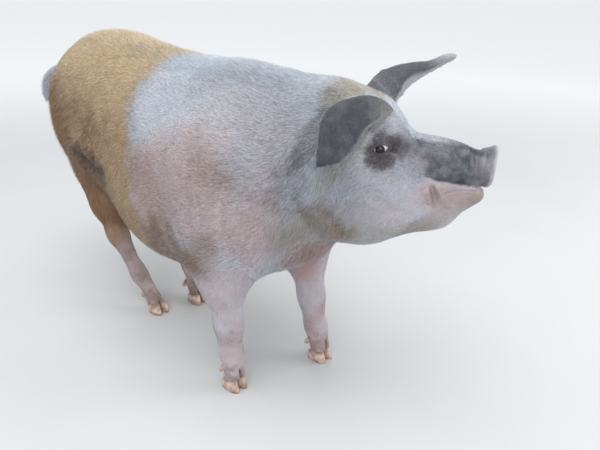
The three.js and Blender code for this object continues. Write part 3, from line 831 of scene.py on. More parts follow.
@dataclass(frozen=True)
class EyePlace:
    """One eye: its ball and the opening between its lids, in millimetres."""

    side: int
    radius: float = 13.0
    stretch: float = 1.2  # how much longer the ball is along the opening
    half_length: float = 13.8
    half_height: float = 6.7
    tilt: float = 16.0
    lid: float = 1.8
    sunk: float = 3.0
    crease: tuple[float, float] = (5.2, 4.6)  # how far from the edge each lid folds, the upper and the lower
    blend: float = 4.0

    @property
    def name(self) -> str:
        """The eye's CAD node."""
        return "eye_right" if self.side == RIGHT else "eye_left"

    def frame(self, head: LocalFrame) -> LocalFrame:
        """The eye's frame: along the opening to its front corner, up across it, and out.

        Args:
            head: The head's frame.

        Returns:
            The frame of the eye.
        """
        out = unit(head.direction(np.array([0.13, self.side, 0.10])))
        lean = math.radians(self.tilt)
        along = head.direction(np.array([math.cos(lean), 0.0, math.sin(lean)]))
        along = unit(along - out * float(along @ out))
        up = np.cross(out, along)
        up = up if up[2] > 0 else -up
        return LocalFrame(node_middle(self.name), np.array([along, up, out]))

    def edge(self, along: Array, up: Array) -> Array:
        """The distance outside the opening's edge, negative between the lids."""
        height = np.where(up > 0, self.half_height * 1.05, self.half_height * 0.92)
        power = 1.55
        ratio = (np.abs(along / self.half_length) ** power + np.abs(up / height) ** power) ** (1 / power)
        return (ratio - 1.0) * self.half_height

    def dome(self, away: Array, radius: float) -> Array:
        """The height of a ball over its middle, which goes straight down past its side.

        Args:
            away: Distances from the ball's axis.
            radius: The ball's radius.

        Returns:
            The height at each distance.
        """
        knee = 0.93 * radius
        slope = knee / math.sqrt(radius**2 - knee**2)
        return np.where(away < knee, np.sqrt(np.maximum(radius**2 - away**2, 0.0)),
                        math.sqrt(radius**2 - knee**2) - slope * (away - knee))

    def shape(self, local: Array) -> Array:
        """Moves skin round the eye so that it forms two lids.

        Args:
            local: Points in the eye's frame, shape (n, 3).

        Returns:
            The moved points.
        """
        along, up, height = local.T
        away = np.hypot(along / self.stretch, up)
        edge = self.edge(along, up)
        lid = self.dome(away, self.radius + self.lid)
        crease = np.where(up > 0, *self.crease)
        lid = lid - 1.1 * bump(edge, 0, 1.0) * (edge < 0) - 1.3 * bump(edge, crease, 1.0)
        lid = lid - 0.7 * bump(edge, crease + 4.2, 1.1) + 0.5 * bump(edge, 2.3, 1.4)
        lifted = -soft_min(-height, -lid, self.blend)
        lifted = lifted - 0.8 * bump(edge, crease, 0.9) - 0.5 * bump(edge, crease + 4.4, 1.2)
        inside = self.dome(away, self.radius) - self.sunk
        share = step(-0.75, 0.35, edge)
        moved = inside + (lifted - inside) * share
        reach = step(27.0, 17.0, away) * step(-9.0, -3.0, height)
        return np.stack([along, up, height + (moved - height) * reach], axis=-1)


EYES = (EyePlace(RIGHT), EyePlace(LEFT))


# ---- Folds -----------------------------------------------------------------------------------------


@dataclass(frozen=True)
class Crease:
    """The section of a groove in the skin, with a low swelling on each side of it."""

    width: float
    depth: float
    swell: float = 0.3  # the swelling's height as a share of the depth

    def height_at(self, points: Array, line: Array) -> Array:
        """How far points near a crease move out.

        Args:
            points: World points, shape (n, 3).
            line: The corners of the crease's line on the skin.

        Returns:
            The height at each point, in metres, which fades out to both ends of the line.
        """
        place, away = along_path(points, line)
        share = place / (len(line) - 1)
        fade = step(0.0, 0.22, share) * step(1.0, 0.78, share)
        away = away / MM
        out = -self.depth * bump(away, 0.0, self.width)
        out += self.swell * self.depth * bump(away, 2.1 * self.width, 1.1 * self.width)
        return out * fade * MM


@dataclass(frozen=True)
class Fold:
    """A crease along a line given in the head's or the body's frame."""

    line: tuple[tuple[float, float, float], ...]
    width: float
    depth: float
    site: Site = Site.HEAD
    swell: float = 0.3
    both: bool = True  # on both sides of the animal

    @property
    def crease(self) -> Crease:
        """The fold's section."""
        return Crease(self.width, self.depth, self.swell)

    def lines(self, stance: Stance) -> list[Array]:
        """The fold's line in the world, once for each side that has it.

        Args:
            stance: How the animal stands.

        Returns:
            One or two lines of points.
        """
        home = stance.home(self.site)
        found = []
        for sign in (1, -1) if self.both else (1,):
            points = np.array(self.line, float) * (1, sign, 1)
            found.append(home.out(curve_through(points, 8 * len(points))))
        return found


FOLDS = (
    # the line of the mouth, its corner and the lip
    Fold(((110, -62, -86), (126, -56, -82), (150, -48, -79), (172, -36, -79), (190, -20, -80)), 1.6, 1.7),
    Fold(((98, -64, -60), (104, -62, -76), (110, -60, -90), (114, -57, -106)), 5.0, 6.0, swell=0.5),
    Fold(((84, -66, -74), (98, -64, -62), (116, -58, -60)), 5.0, 1.4),
    # wrinkles behind the disc
    Fold(((181, 0, -4), (182, -20, -10), (180, -28, -30), (182, -27, -52), (184, -20, -66)), 2.1, 2.5),
    Fold(((163, 0, 0), (164, -20, -6), (161, -31, -26), (164, -31, -46), (166, -26, -62)), 1.8, 2.0),
    Fold(((171, -18, -8), (173, -29, -22), (172, -31, -40)), 1.5, 1.4),
    Fold(((192, -14, -6), (193, -24, -20), (192, -27, -40)), 1.5, 1.3),
    Fold(((148, -20, 2), (150, -33, -18), (147, -37, -36)), 1.8, 1.1),
    Fold(((134, -24, 6), (136, -36, -14)), 2.0, 0.8),
    # round the eye
    Fold(((18, -82, 2), (28, -74, -4), (38, -70, -14)), 1.8, 1.5),
    Fold(((-16, -88, 16), (-4, -84, 26), (12, -78, 26), (26, -68, 18)), 3.2, 1.6),
    Fold(((-20, -92, -8), (-10, -94, -20), (6, -90, -25), (22, -82, -22)), 3.0, 1.6),
    Fold(((-24, -92, 2), (-38, -96, 4), (-50, -98, 2)), 2.4, 1.0),
    Fold(((30, -70, -30), (50, -66, -44), (70, -66, -58)), 7.0, 2.2),
    # cheek and throat
    Fold(((-20, -108, -60), (6, -102, -84), (30, -90, -104), (46, -76, -118)), 9.0, 2.4),
    Fold(((-96, -112, -70), (-84, -110, -104), (-64, -92, -136), (-50, -60, -156)), 9.0, 3.2),
    Fold(((-142, -118, -60), (-132, -114, -104), (-112, -92, -144), (-96, -58, -168)), 10.0, 3.0),
    # where the legs leave the body
    Fold(((150, -172, 372), (140, -168, 345), (150, -150, 322), (176, -128, 312)), 10.0, 5.0, Site.BODY, 0.2),
    Fold(((-250, -196, 520), (-226, -190, 470), (-206, -176, 425), (-196, -150, 385), (-206, -120, 350)),
         15.0, 8.0, Site.BODY, 0.15),
    Fold(((-226, -186, 455), (-196, -192, 440), (-160, -192, 420), (-120, -186, 400)),
         12.0, 4.0, Site.BODY, 0.2),
    Fold(((240, -180, 470), (222, -190, 430), (214, -188, 390)), 16.0, 3.5, Site.BODY, 0.2),
    Fold(((322, -160, 520), (312, -165, 480), (306, -166, 440), (298, -165, 405)),
         14.0, 3.2, Site.BODY, 0.25),
    Fold(((-350, -135, 426), (-305, -150, 419), (-255, -160, 408), (-215, -165, 392), (-192, -160, 368)),
         17.0, 11.0, Site.BODY, 0.45, both=False),
)


@dataclass(frozen=True)
class Swell:
    """A soft rise, or a hollow where its height is negative."""

    place: tuple[float, float, float]
    radius: float
    height: float
    site: Site = Site.HEAD
    both: bool = True

    def height_at(self, stance: Stance, points: Array) -> Array:
        """How far each point moves out, in metres.

        Args:
            stance: How the animal stands.
            points: Points, shape (n, 3).

        Returns:
            The distances.
        """
        home = stance.home(self.site)
        out = np.zeros(len(points))
        for sign in (1, -1) if self.both else (1,):
            centre = home.out(np.array(self.place) * (1, sign, 1))
            near = np.flatnonzero((np.abs(points - centre) < 2.6 * self.radius * MM).all(axis=1))
            away = np.linalg.norm(points[near] - centre, axis=1) / MM
            out[near] += self.height * MM * bump(away, 0.0, self.radius)
        return out


SWELLS = (
    Swell((126, -22, -128), 34.0, -4.5),
    Swell((150, -14, -112), 24.0, -2.5),
    Swell((128, -56, -92), 13.0, 1.8),
    Swell((188, -14, -93), 15.0, 5.0),
    Swell((168, -16, -108), 16.0, 3.5),
    Swell((90, -64, -90), 13.0, 1.8),
    Swell((14, -76, 28), 15.0, 1.6),
    Swell((6, -88, -24), 13.0, 1.4),
    Swell((-10, -104, -70), 42.0, 3.0),
    Swell((-238, -150, 384), 30.0, -13.0, Site.BODY, both=False),
    Swell((-300, -150, 462), 44.0, 5.0, Site.BODY, both=False),
    Swell((-330, -130, 372), 30.0, -5.0, Site.BODY, both=False),
)


# ---- Places on the skin ----------------------------------------------------------------------------


@dataclass
class Places:
    """Where points of the skin are, in terms of the animal's own parts."""

    world: Array
    normal: Array
    head: Array
    body: Array
    ear: Array  # 0 none, -1 right, 1 left
    ear_along: Array
    ear_across: Array
    ear_face: Array  # 1 on the outer face, -1 in the cup
    tail: Array  # share of the tail's length, or -1
    leg: Array  # number of the leg, or -1
    leg_along: Array  # 0 at the top to 4 at the coronet

    def picked(self, rows: Array) -> "Places":
        """The places of some of the points."""
        return Places(*(getattr(self, name)[rows] for name in self.__dataclass_fields__))


@dataclass
class Anatomy:
    """Tells which part of the animal a point of the skin belongs to."""

    stance: Stance

    def places(self, points: Array, normals: Array) -> Places:
        """Sorts points by the part they lie on.

        Args:
            points: Points on the skin, shape (n, 3).
            normals: The skin's normals there.

        Returns:
            The places.
        """
        head, body = self.stance.head().into(points), self.stance.body().into(points)
        count = len(points)
        made = Places(points, normals, head, body, np.zeros(count), np.zeros(count), np.zeros(count),
                      np.zeros(count), np.full(count, -1.0), np.full(count, -1), np.zeros(count))
        self.find_ears(made)
        self.find_tail(made)
        self.find_legs(made)
        return made

    def find_ears(self, made: Places) -> None:
        """Fills in the ears.

        Args:
            made: The places, which change.
        """
        turn = self.stance.head()
        normal = made.normal @ turn.axes.T
        for ear, sign in zip(EARS, (RIGHT, LEFT)):
            beads, thick, along, across = ear.surface()
            grid = beads.reshape(ear.steps_along, ear.steps_across, 3)
            facing = unit(np.cross(np.gradient(grid, axis=0), np.gradient(grid, axis=1)))
            middle = ear.steps_across // 2
            bulge = grid[:, middle] - (grid[:, 0] + grid[:, -1]) / 2
            if np.sum(facing[:, middle] * bulge) < 0:
                facing = -facing
            facing = facing.reshape(-1, 3)
            tree = KDTree(len(beads))
            for i, bead in enumerate(beads):
                tree.insert(bead, i)
            tree.balance()
            low, high = beads.min(0) - 9, beads.max(0) + 9
            near = np.flatnonzero(((made.head > low) & (made.head < high)).all(axis=1))
            for i in near:
                _, bead, away = tree.find(made.head[i])
                if away < thick[bead] / 2 + 2.2:
                    made.ear[i] = sign
                    made.ear_along[i] = along[bead]
                    made.ear_across[i] = across[bead]
                    made.ear_face[i] = 1.0 if facing[bead] @ normal[i] > 0 else -1.0

    def find_tail(self, made: Places) -> None:
        """Fills in the tail.

        Args:
            made: The places, which change.
        """
        path = Tail().path()
        near = np.flatnonzero(made.body[:, 0] < path[:, 0].max() - 24)
        place, away = along_path(made.body[near], path)
        hit = away < 22
        made.tail[near[hit]] = place[hit] / (len(path) - 1)

    def find_legs(self, made: Places) -> None:
        """Fills in the legs.

        Args:
            made: The places, which change.
        """
        best = np.full(len(made.world), np.inf)
        for number, leg in enumerate(LEG_NAMES):
            path = self.stance.path(leg)
            rows = np.flatnonzero(made.body[:, 2] < path[0, 2] + 40)
            place, away = along_path(made.body[rows], path[:, :3])
            radius = np.interp(place, np.arange(len(path)), path[:, 3])
            mine = (away < 1.7 * radius + 14) & (away < best[rows])
            best[rows[mine]] = away[mine]
            made.leg[rows[mine]] = number
            made.leg_along[rows[mine]] = place[mine]


# ---- Markings --------------------------------------------------------------------------------------


class Mark(Enum):
    """The colours that lie over the pale coat, in the order in which they are laid."""

    FLUSH = 0
    WARM = 1
    GINGER = 2
    DEEP = 3
    SLATE = 4
    VIOLET = 5
    ROSE = 6
    # soil, and painted shade under the belly, behind the elbow, in the crease before the ham and under the
    # jaw
    GRIME = 7


@dataclass(frozen=True)
class Patch:
    """A soft patch of one mark round a line of places, each with its own radius."""

    mark: Mark
    line: tuple[tuple[float, float, float, float], ...]  # forward, left, up and radius
    strength: float = 1.0
    soft: float = 0.35  # how far the edge fades, as a share of the radius
    site: Site = Site.HEAD
    flat: bool = False  # measured as seen from the side
    both: bool = True  # on both sides of the animal, given for the right one

    def at(self, places: Places, noise: Array) -> Array:
        """How strong the patch is at each place.

        Args:
            places: The places.
            noise: What frays the patch's edge at each of them.

        Returns:
            The strengths, from 0 to the patch's own.
        """
        points = (places.head if self.site is Site.HEAD else places.body).copy()
        line = np.array(self.line, float)
        if self.both:
            points[:, 1] = -np.abs(points[:, 1])
        if self.flat:
            points[:, 1], line[:, 1] = 0.0, 0.0
        place, away = along_path(points, line[:, :3])
        radius = np.interp(place, np.arange(len(line)), line[:, 3])
        return self.strength * step(1 + self.soft, 1 - self.soft, away / radius + 0.35 * noise)


PATCHES = (
    # pink skin that shows through on the side, the shoulder and the chest
    Patch(Mark.FLUSH, ((84, -182, 474, 60), (150, -180, 500, 62), (225, -172, 520, 66), (262, -166, 530, 56)),
          0.62, 0.45, Site.BODY),
    Patch(Mark.FLUSH, ((120, -190, 440, 90), (250, -180, 450, 80), (360, -130, 440, 80)),
          0.60, 0.6, Site.BODY),
    Patch(Mark.FLUSH, ((44, -188, 470, 56), (52, -190, 400, 66), (90, -190, 350, 66)), 0.72, 0.5, Site.BODY),
    Patch(Mark.FLUSH, ((260, -160, 400, 90), (330, -120, 380, 90), (390, -60, 350, 70)),
          0.30, 0.7, Site.BODY),
    Patch(Mark.FLUSH, ((240, -140, 600, 50), (310, -118, 600, 60), (372, -90, 580, 60)),
          0.24, 0.7, Site.BODY),
    Patch(Mark.FLUSH, ((88, -62, -82, 20), (112, -56, -86, 26), (150, -40, -92, 24), (190, -20, -86, 22)),
          0.55, 0.55),
    Patch(Mark.FLUSH, ((-60, -90, -110, 30), (0, -90, -108, 32), (50, -70, -118, 30)), 0.28, 0.6),
    Patch(Mark.FLUSH, ((226, 0, -38, 36),), 0.35, 0.3),
    Patch(Mark.ROSE, ((392, -10, 350, 50), (384, 30, 338, 46), (330, 60, 300, 40), (296, 64, 250, 36)),
          0.68, 0.7, Site.BODY, both=False),
    Patch(Mark.ROSE, ((90, -62, -70, 12), (100, -58, -92, 12)), 0.22, 0.7),
    Patch(Mark.ROSE, ((214, -13, -36, 9),), 0.7, 0.4),
    # straw-coloured hair on the nape, before the ear, and under the jaw
    Patch(Mark.WARM, ((-84, -72, 80, 20), (-64, -44, 96, 28), (-46, 0, 104, 32), (6, 0, 88, 16)), 0.78, 0.5),
    Patch(Mark.WARM, ((8, -34, 52, 8), (-10, -66, 44, 9), (-30, -90, 22, 9), (-44, -104, -4, 10),
                      (-64, -114, -30, 12), (-96, -122, -60, 12)), 0.5, 0.7),
    Patch(Mark.WARM, ((-60, -90, -155, 30), (0, -80, -160, 26), (60, -55, -162, 24), (100, -30, -160, 22)),
          0.42, 0.6),
    Patch(Mark.WARM, ((-142, -110, -174, 34), (-108, -106, -152, 36), (-72, -94, -160, 30)), 0.58, 0.6),
    Patch(Mark.SLATE, ((-98, -80, 66, 20), (-84, -56, 84, 18)), 0.30, 0.6),
    Patch(Mark.SLATE, ((-30, 36, 84, 22), (-14, 21, 84, 18), (2, 26, 80, 14)), 0.8, 0.5, both=False),
    Patch(Mark.SLATE, ((-10, -78, 38, 13), (10, -68, 40, 13)), 0.42, 0.7),
    # grey on the withers, the neck and the cheek
    # grey over the withers: partly greyish skin under thin white hair, partly painted shade on the top of the
    # back, where the lamps light it most
    Patch(Mark.SLATE, ((214, -60, 660, 76), (290, -60, 650, 94), (370, -80, 600, 90), (350, -130, 530, 60)),
          0.24, 0.7, Site.BODY),
    Patch(Mark.SLATE, ((-92, 0, 56, 16), (-112, 0, 26, 20), (-130, 0, -4, 20), (-134, 0, -20, 16)),
          0.42, 0.14, flat=True),
    Patch(Mark.SLATE, ((-126, 0, -22, 24), (-140, 0, -50, 31), (-156, 0, -90, 36)), 0.24, 0.12, flat=True),
    Patch(Mark.SLATE, ((-106, 0, -34, 36), (-100, 0, -76, 44), (-62, 0, -60, 40), (-58, 0, -92, 36)),
          0.15, 0.5, flat=True),
    Patch(Mark.SLATE, ((-60, 0, -44, 36), (0, 0, -46, 34), (44, 0, -60, 28)), 0.11, 0.6, flat=True),
    Patch(Mark.SLATE, ((48, -62, -8, 18), (66, -55, -12, 26), (84, -52, -20, 30)), 0.34, 0.6),
    Patch(Mark.SLATE, ((34, -76, -34, 22), (60, -68, -40, 22)), 0.24, 0.7),
    # painted shade in the fold at the corner of the mouth
    Patch(Mark.VIOLET, ((102, -62, -70, 5), (109, -59, -86, 7), (113, -57, -102, 6)), 0.42, 0.8),
    # the dark patch round the eye
    Patch(Mark.VIOLET, ((24, 0, 8, 17), (6, 0, 13, 18), (-3, 0, 2, 18), (-3, 0, -14, 17), (6, 0, -24, 14),
                        (16, 0, -18, 13)), 0.84, 0.42, flat=True),
    Patch(Mark.VIOLET, ((32, 0, 6, 14), (42, 0, -2, 13)), 0.72, 0.6, flat=True),
    Patch(Mark.VIOLET, ((-8, 0, 2, 12), (16, 0, 5, 12), (8, 0, -10, 12)), 0.6, 0.5, flat=True),
    # soil on the belly, flank and throat, with painted shade under the belly, behind the elbow, in the crease
    # before the ham and under the jaw
    # the next three patches darken the lower sides and underside of the belly: soil, and painted shade where
    # the belly turns under
    Patch(Mark.GRIME, ((40, -200, 285, 88), (150, -190, 290, 92), (218, -175, 296, 54)),
          0.70, 0.4, Site.BODY),
    Patch(Mark.GRIME, ((160, 0, 290, 120), (0, 0, 285, 140), (-150, 0, 310, 120)), 0.75, 0.5, Site.BODY),
    Patch(Mark.GRIME, ((60, -190, 290, 60), (-100, -180, 300, 60)), 0.5, 0.6, Site.BODY),
    Patch(Mark.GRIME, ((60, -190, 470, 50), (84, -190, 420, 62), (140, -188, 400, 56)), 0.26, 0.6, Site.BODY),
    Patch(Mark.GRIME, ((60, -190, 400, 44), (48, -190, 440, 36)), 0.12, 0.7, Site.BODY),
    # behind the elbow: soil, and painted shade in the armpit
    Patch(Mark.GRIME, ((276, -175, 368, 24), (248, -180, 343, 32), (226, -172, 306, 30),
                       (206, -160, 300, 36)), 0.48, 0.7, Site.BODY),
    Patch(Mark.GRIME, ((240, -160, 580, 24), (250, -160, 552, 28), (262, -160, 530, 26)),
          0.22, 0.8, Site.BODY),
    Patch(Mark.GRIME, ((150, -185, 450, 80), (260, -175, 430, 80), (330, -140, 400, 60)),
          0.08, 0.6, Site.BODY),
    Patch(Mark.GRIME, ((262, -172, 520, 26), (290, -165, 520, 34)), 0.26, 0.8, Site.BODY),
    # painted shade in the crease before the right ham, on the seen side only, laid as grime and violet
    Patch(Mark.GRIME, ((-350, -130, 420, 22), (-290, -150, 410, 30), (-190, -160, 400, 36)),
          0.75, 0.7, Site.BODY, both=False),
    Patch(Mark.VIOLET, ((-330, -135, 430, 24), (-290, -147, 424, 32), (-230, -155, 408, 34),
                        (-170, -160, 406, 32)), 0.88, 0.9, Site.BODY, both=False),
    # painted shade under the jaw where it meets the throat
    Patch(Mark.GRIME, ((-108, -112, -116, 26), (-88, -106, -134, 30), (-56, -92, -156, 24)), 0.46, 0.8),
    Patch(Mark.GRIME, ((60, -40, -164, 24), (120, -36, -128, 26), (164, -20, -114, 24), (190, -10, -92, 18)),
          0.36, 0.6),
    Patch(Mark.GRIME, ((110, -54, -84, 22), (150, -38, -92, 20), (192, -12, -84, 18)), 0.32, 0.6),
    Patch(Mark.GRIME, ((-100, -120, -108, 26), (-60, -114, -110, 24)), 0.22, 0.8),
    Patch(Mark.GRIME, ((392, -20, 330, 50), (410, 10, 370, 40)), 0.30, 0.8, Site.BODY),
)


@dataclass
class Markings:
    """The markings of skin and coat at some places: strengths that depend only on the place."""

    places: Places
    seed: int = 5
    edge_heights: tuple[float, ...] = (340, 377, 415, 450, 500, 545, 590, 622, 650, 690, 720)
    edge_places: tuple[float, ...] = (64, 36, 14, 22, 14, 2, -24, -36, -22, -22, -10)

    def __post_init__(self) -> None:
        """Reads the noise that frays the marks, and starts all of them at 0."""
        clouds = Clouds(self.seed)
        self.noise = clouds.at(self.places.world / MM, 34.0, 3)
        self.fine = clouds.at(self.places.world / MM + 50, 9.0, 2)
        self.made = np.zeros((len(self.places.world), len(Mark)))

    def laid(self) -> Array:
        """The strengths of all marks, shape (n, 8).

        Returns:
            The strengths, shape (n, 8).
        """
        self.lay_patches()
        self.lay_ginger()
        self.lay_dirt()
        self.clear_tail()
        self.mark_legs()
        self.mark_muzzle()
        self.mark_ears()
        self.mark_eyes()
        return np.clip(self.made, 0.0, 1.0)

    def lift(self, mark: Mark, strength: Array) -> None:
        """Makes a mark at least as strong as given."""
        self.made[:, mark.value] = np.maximum(self.made[:, mark.value], strength)

    def thin(self, mark: Mark, share: Array) -> None:
        """Leaves a share of a mark."""
        self.made[:, mark.value] *= share

    def put(self, mark: Mark, strength: float | Array, where: Array) -> None:
        """Sets a mark where a mask is true."""
        self.made[where, mark.value] = np.broadcast_to(strength, where.shape)[where]

    def lay_patches(self) -> None:
        """Lays the patches, of which several of one mark add up without passing 1."""
        off_neck = step(-260, -200, self.places.head[:, 0])
        on_ear = (self.places.ear != 0) & (self.places.ear_along > 0.12)
        for patch in PATCHES:
            here = patch.at(self.places, 0.7 * self.noise + 0.5 * self.fine)
            if patch.site is Site.HEAD:
                here = here * off_neck
            here[on_ear] = 0.0
            self.made[:, patch.mark.value] = 1 - (1 - self.made[:, patch.mark.value]) * (1 - here)

    def lay_ginger(self) -> None:
        """The ginger hindquarter, which is darker low down and at its end, partly a deeper ginger and partly
        painted shade, behind a bluish rim.
        """
        ahead, _, up = self.places.body.T
        edge = np.interp(up, self.edge_heights, self.edge_places)
        ginger = step(edge + 24, edge - 24, ahead + 12 * self.noise + 9 * self.fine)
        ginger *= step(150, 215, up + 0.2 * ahead + 30)
        self.thin(Mark.FLUSH, 1 - ginger)
        self.thin(Mark.WARM, 1 - ginger)
        self.thin(Mark.GRIME, 1 - 0.6 * ginger)
        self.made[:, Mark.GINGER.value] = ginger
        # deeper ginger low down and at the rear end: partly the coat's own colour, partly painted shade where
        # the rump turns under and away
        low = step(640, 490, up + 20 * self.noise) * (0.40 + 0.50 * step(-40, -340, ahead + 30 * self.noise))
        end = step(-280, -450, ahead) * step(650, 550, up)
        fleece = 1 - 0.55 * bump(ahead, -285, 36) * bump(up, 486, 26)
        self.made[:, Mark.DEEP.value] = ginger * np.maximum(low, end) * (0.95 + 0.3 * self.fine) * fleece
        rim = bump(ahead - edge, 2, 24) * 0.10 * (up > 420)
        on_back = 0.24 * bump(ahead, -80, 100) * step(664, 690, up)
        self.lift(Mark.SLATE, np.maximum(rim, on_back))

    def lay_dirt(self) -> None:
        """Blots and speckles on the side, with a clean streak before the belly on the right."""
        ahead, side, up = self.places.body.T
        bare = 1 - self.made[:, Mark.GINGER.value]
        blots = step(0.10, 0.75, self.noise) * bump(ahead, 230, 90) * bump(up, 515, 70) * bare
        self.lift(Mark.GRIME, 0.34 * blots)
        within = step(640, 560, up) * bare * (ahead < 330) * (ahead > -40)
        self.lift(Mark.GRIME, 0.42 * step(0.62, 0.95, self.fine + 0.35 * self.noise) * within)
        streak = bump(ahead - 178 - 0.55 * (398 - up), 0, 9) * (side < 0)
        self.thin(Mark.GRIME, 1 - 0.9 * streak * step(410, 396, up) * step(335, 352, up))

    def clear_tail(self) -> None:
        """Takes the marks off the white tail."""
        on_tail = self.places.tail > 0.06
        kept = 1 - step(0.05, 0.22, self.places.tail)
        for mark in Mark:
            self.thin(mark, np.where(on_tail, kept, 1.0))
        self.put(Mark.FLUSH, 0.15, on_tail)

    def mark_legs(self) -> None:
        """Pink and soiled legs, ginger at the top behind, where the deep brown is partly painted shade under
        the ham and belly.
        """
        along, noise, fine = self.places.leg_along, self.noise, self.fine
        fore = (self.places.leg >= 0) & (self.places.leg < 2)
        hind = self.places.leg >= 2
        self.put(Mark.FLUSH, 0.32 + 0.25 * noise + 0.25 * step(1.5, 3.0, along), fore)
        self.thin(Mark.GRIME, np.where(fore, step(0.9, 0.2, along), 1.0))
        upper = step(2.5, 1.7, along + 0.3 * noise)
        self.put(Mark.GINGER, upper, hind)
        # deep brown at the top of the hind legs: partly a deeper ginger, partly painted shade under the ham
        # and belly
        self.put(Mark.DEEP, 0.85 * upper + 0.1 * noise, hind)
        self.put(Mark.FLUSH, 0.8, hind)
        self.put(Mark.SLATE, 0.22 * step(1.9, 2.4, along) + 0.1 * noise, hind)
        dirt = np.maximum.reduce([
            0.52 * step(2.9, 4.0, along + 0.7 * noise + 0.6 * fine),
            0.45 * step(0.55, 1.0, fine + 0.35 * noise) * step(0.8, 1.8, along),
            (0.18 + 0.20 * noise) * step(1.2, 2.9, along),
        ])
        self.lift(Mark.GRIME, np.where((fore | hind) & (along > 0.5), dirt, 0.0))

    def mark_muzzle(self) -> None:
        """The grey muzzle, which ends in a line over the lip and leaves the ridge of the nose pale."""
        ahead, side, up = self.places.head.T
        noise, fine = self.noise, self.fine
        border = np.interp(ahead, (40, 70, 92, 128, 160, 200), (-20, -44, -52, -60, -68, -72))
        grey = step(border - 3, border + 3, up + 2 * fine)
        grey *= step(24, 96, ahead + 0.35 * (up + 40) + 14 * noise)
        ridge = np.interp(ahead, (60, 120, 180), (26, 14, 9))
        crown = 0.08 + 0.52 * step(150, 80, ahead)
        grey *= 1 - crown * step(ridge + 5, ridge - 5, np.abs(side) + 4 * noise) * step(-16, 0, up)
        grey *= 0.30 + 0.70 * step(207, 201, ahead - 0.10 * (up + 38) + 2 * fine)
        grey *= 1 - 0.24 * step(168, 184, ahead) * step(-8, -26, up)
        grey *= 0.75 + 0.22 * noise + 0.10 * fine + 0.10 * step(-30, -60, up)
        self.lift(Mark.SLATE, grey)
        self.thin(Mark.FLUSH, 1 - 0.7 * grey)

    def mark_ears(self) -> None:
        """Dark ears with a pale rim."""
        along, across = self.places.ear_along, self.places.ear_across
        outer = self.places.ear_face > 0
        rim = step(0.84, 0.97, np.abs(across) + 0.05 * self.noise)
        fade = step(0.05, 0.16, along)
        light = step(0.50 + 0.25 * along, 0.88 + 0.08 * along, across + 0.05 * self.noise)
        slate_of = {
            RIGHT: np.where(outer, 1.0 - 0.35 * rim - 0.12 * np.abs(self.noise), 0.5),
            LEFT: 0.88 * (1 - 0.80 * step(0.60, 0.86, along)) * (1 - 0.85 * light),
        }
        warm_of = {
            RIGHT: np.where(outer, 0.7 * step(0.36, 0.08, along + 0.15 * across), 0.1),
            LEFT: np.where(outer, 0.2 * step(0.3, 0.1, along), 0.0),
        }
        for sign in (RIGHT, LEFT):
            here = (self.places.ear == sign) & (along > 0.06)
            wanted = {
                Mark.SLATE: slate_of[sign] * (1 - 0.5 * warm_of[sign]),
                Mark.WARM: warm_of[sign] + 0.1 * rim,
                Mark.FLUSH: np.where(outer, 0.0, 0.04),
            }
            for mark in Mark:
                now = self.made[:, mark.value]
                self.put(mark, now + (wanted.get(mark, 0.0) - now) * fade, here)

    def mark_eyes(self) -> None:
        """Dark rims to the lids, and painted shade inside the nostrils."""
        head = Stance().head()
        for eye in EYES:
            local = eye.frame(head).into(self.places.world)
            near = (np.abs(local) < 30).all(axis=1)
            rim = step(3.0, 0.4, eye.edge(local[:, 0], local[:, 1]))
            self.lift(Mark.VIOLET, np.where(near, rim, 0.0))
        ahead, side, up = self.places.head.T
        # painted shade inside the nostrils
        away = np.hypot((np.abs(side) - 13.5) / 5.4, (up + 35.5) / 7.6)
        self.lift(Mark.VIOLET, 0.85 * step(1.25, 0.8, away) * (ahead > 196))


# ---- Building meshes -------------------------------------------------------------------------------


def add_mesh(name: str, points: Array, corners: Array, smooth: bool = True) -> bpy.types.Object:
    """Makes an object from arrays of points and triangles.

    Args:
        name: The object's name.
        points: Its points, shape (n, 3).
        corners: Its triangles, shape (m, 3).
        smooth: Whether its faces are shaded smoothly.

    Returns:
        The object, linked to the scene.
    """
    mesh = bpy.data.meshes.new(name)
    mesh.vertices.add(len(points))
    mesh.vertices.foreach_set("co", np.ascontiguousarray(points, np.float32).ravel())
    mesh.loops.add(corners.size)
    mesh.loops.foreach_set("vertex_index", np.ascontiguousarray(corners, np.int32).ravel())
    mesh.polygons.add(len(corners))
    mesh.polygons.foreach_set("loop_start", np.arange(0, corners.size, 3, dtype=np.int32))
    if smooth:
        mesh.polygons.foreach_set("use_smooth", np.ones(len(corners), bool))
    mesh.update(calc_edges=True)
    mesh.validate()
    made = bpy.data.objects.new(name, mesh)
    bpy.context.scene.collection.objects.link(made)
    return made


def add_numbers(made: bpy.types.Object, name: str, values: Array) -> None:
    """Stores numbers on the points of a mesh, one or four for each."""
    kind = "FLOAT" if values.ndim == 1 else "FLOAT_COLOR"
    layer = made.data.attributes.new(name, kind, "POINT")
    flat = np.ascontiguousarray(values, np.float32).ravel()
    layer.data.foreach_set("value" if values.ndim == 1 else "color", flat)


def add_map(made: bpy.types.Object, flat: Array) -> None:
    """Stores a map on a mesh, from the place on it of each point."""
    layer = made.data.uv_layers.new(name="OFBake")
    order = np.empty(len(made.data.loops), np.int32)
    made.data.loops.foreach_get("vertex_index", order)
    layer.data.foreach_set("uv", flat[order].astype(np.float32).ravel())


def place_piece(made: bpy.types.Object, finish: bpy.types.Material, nodes: Iterable[str]) -> None:
    """Gives a piece its material and its body, and hides the CAD nodes that it stands for.

    Args:
        made: The piece.
        finish: Its material.
        nodes: The CAD nodes that it stands for.
    """
    made.data.materials.append(finish)
    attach(made, "root")
    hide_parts(*nodes)
    LOG.info("%s: %d triangles", made.name, len(made.data.polygons))


# ---- Shader maths ----------------------------------------------------------------------------------


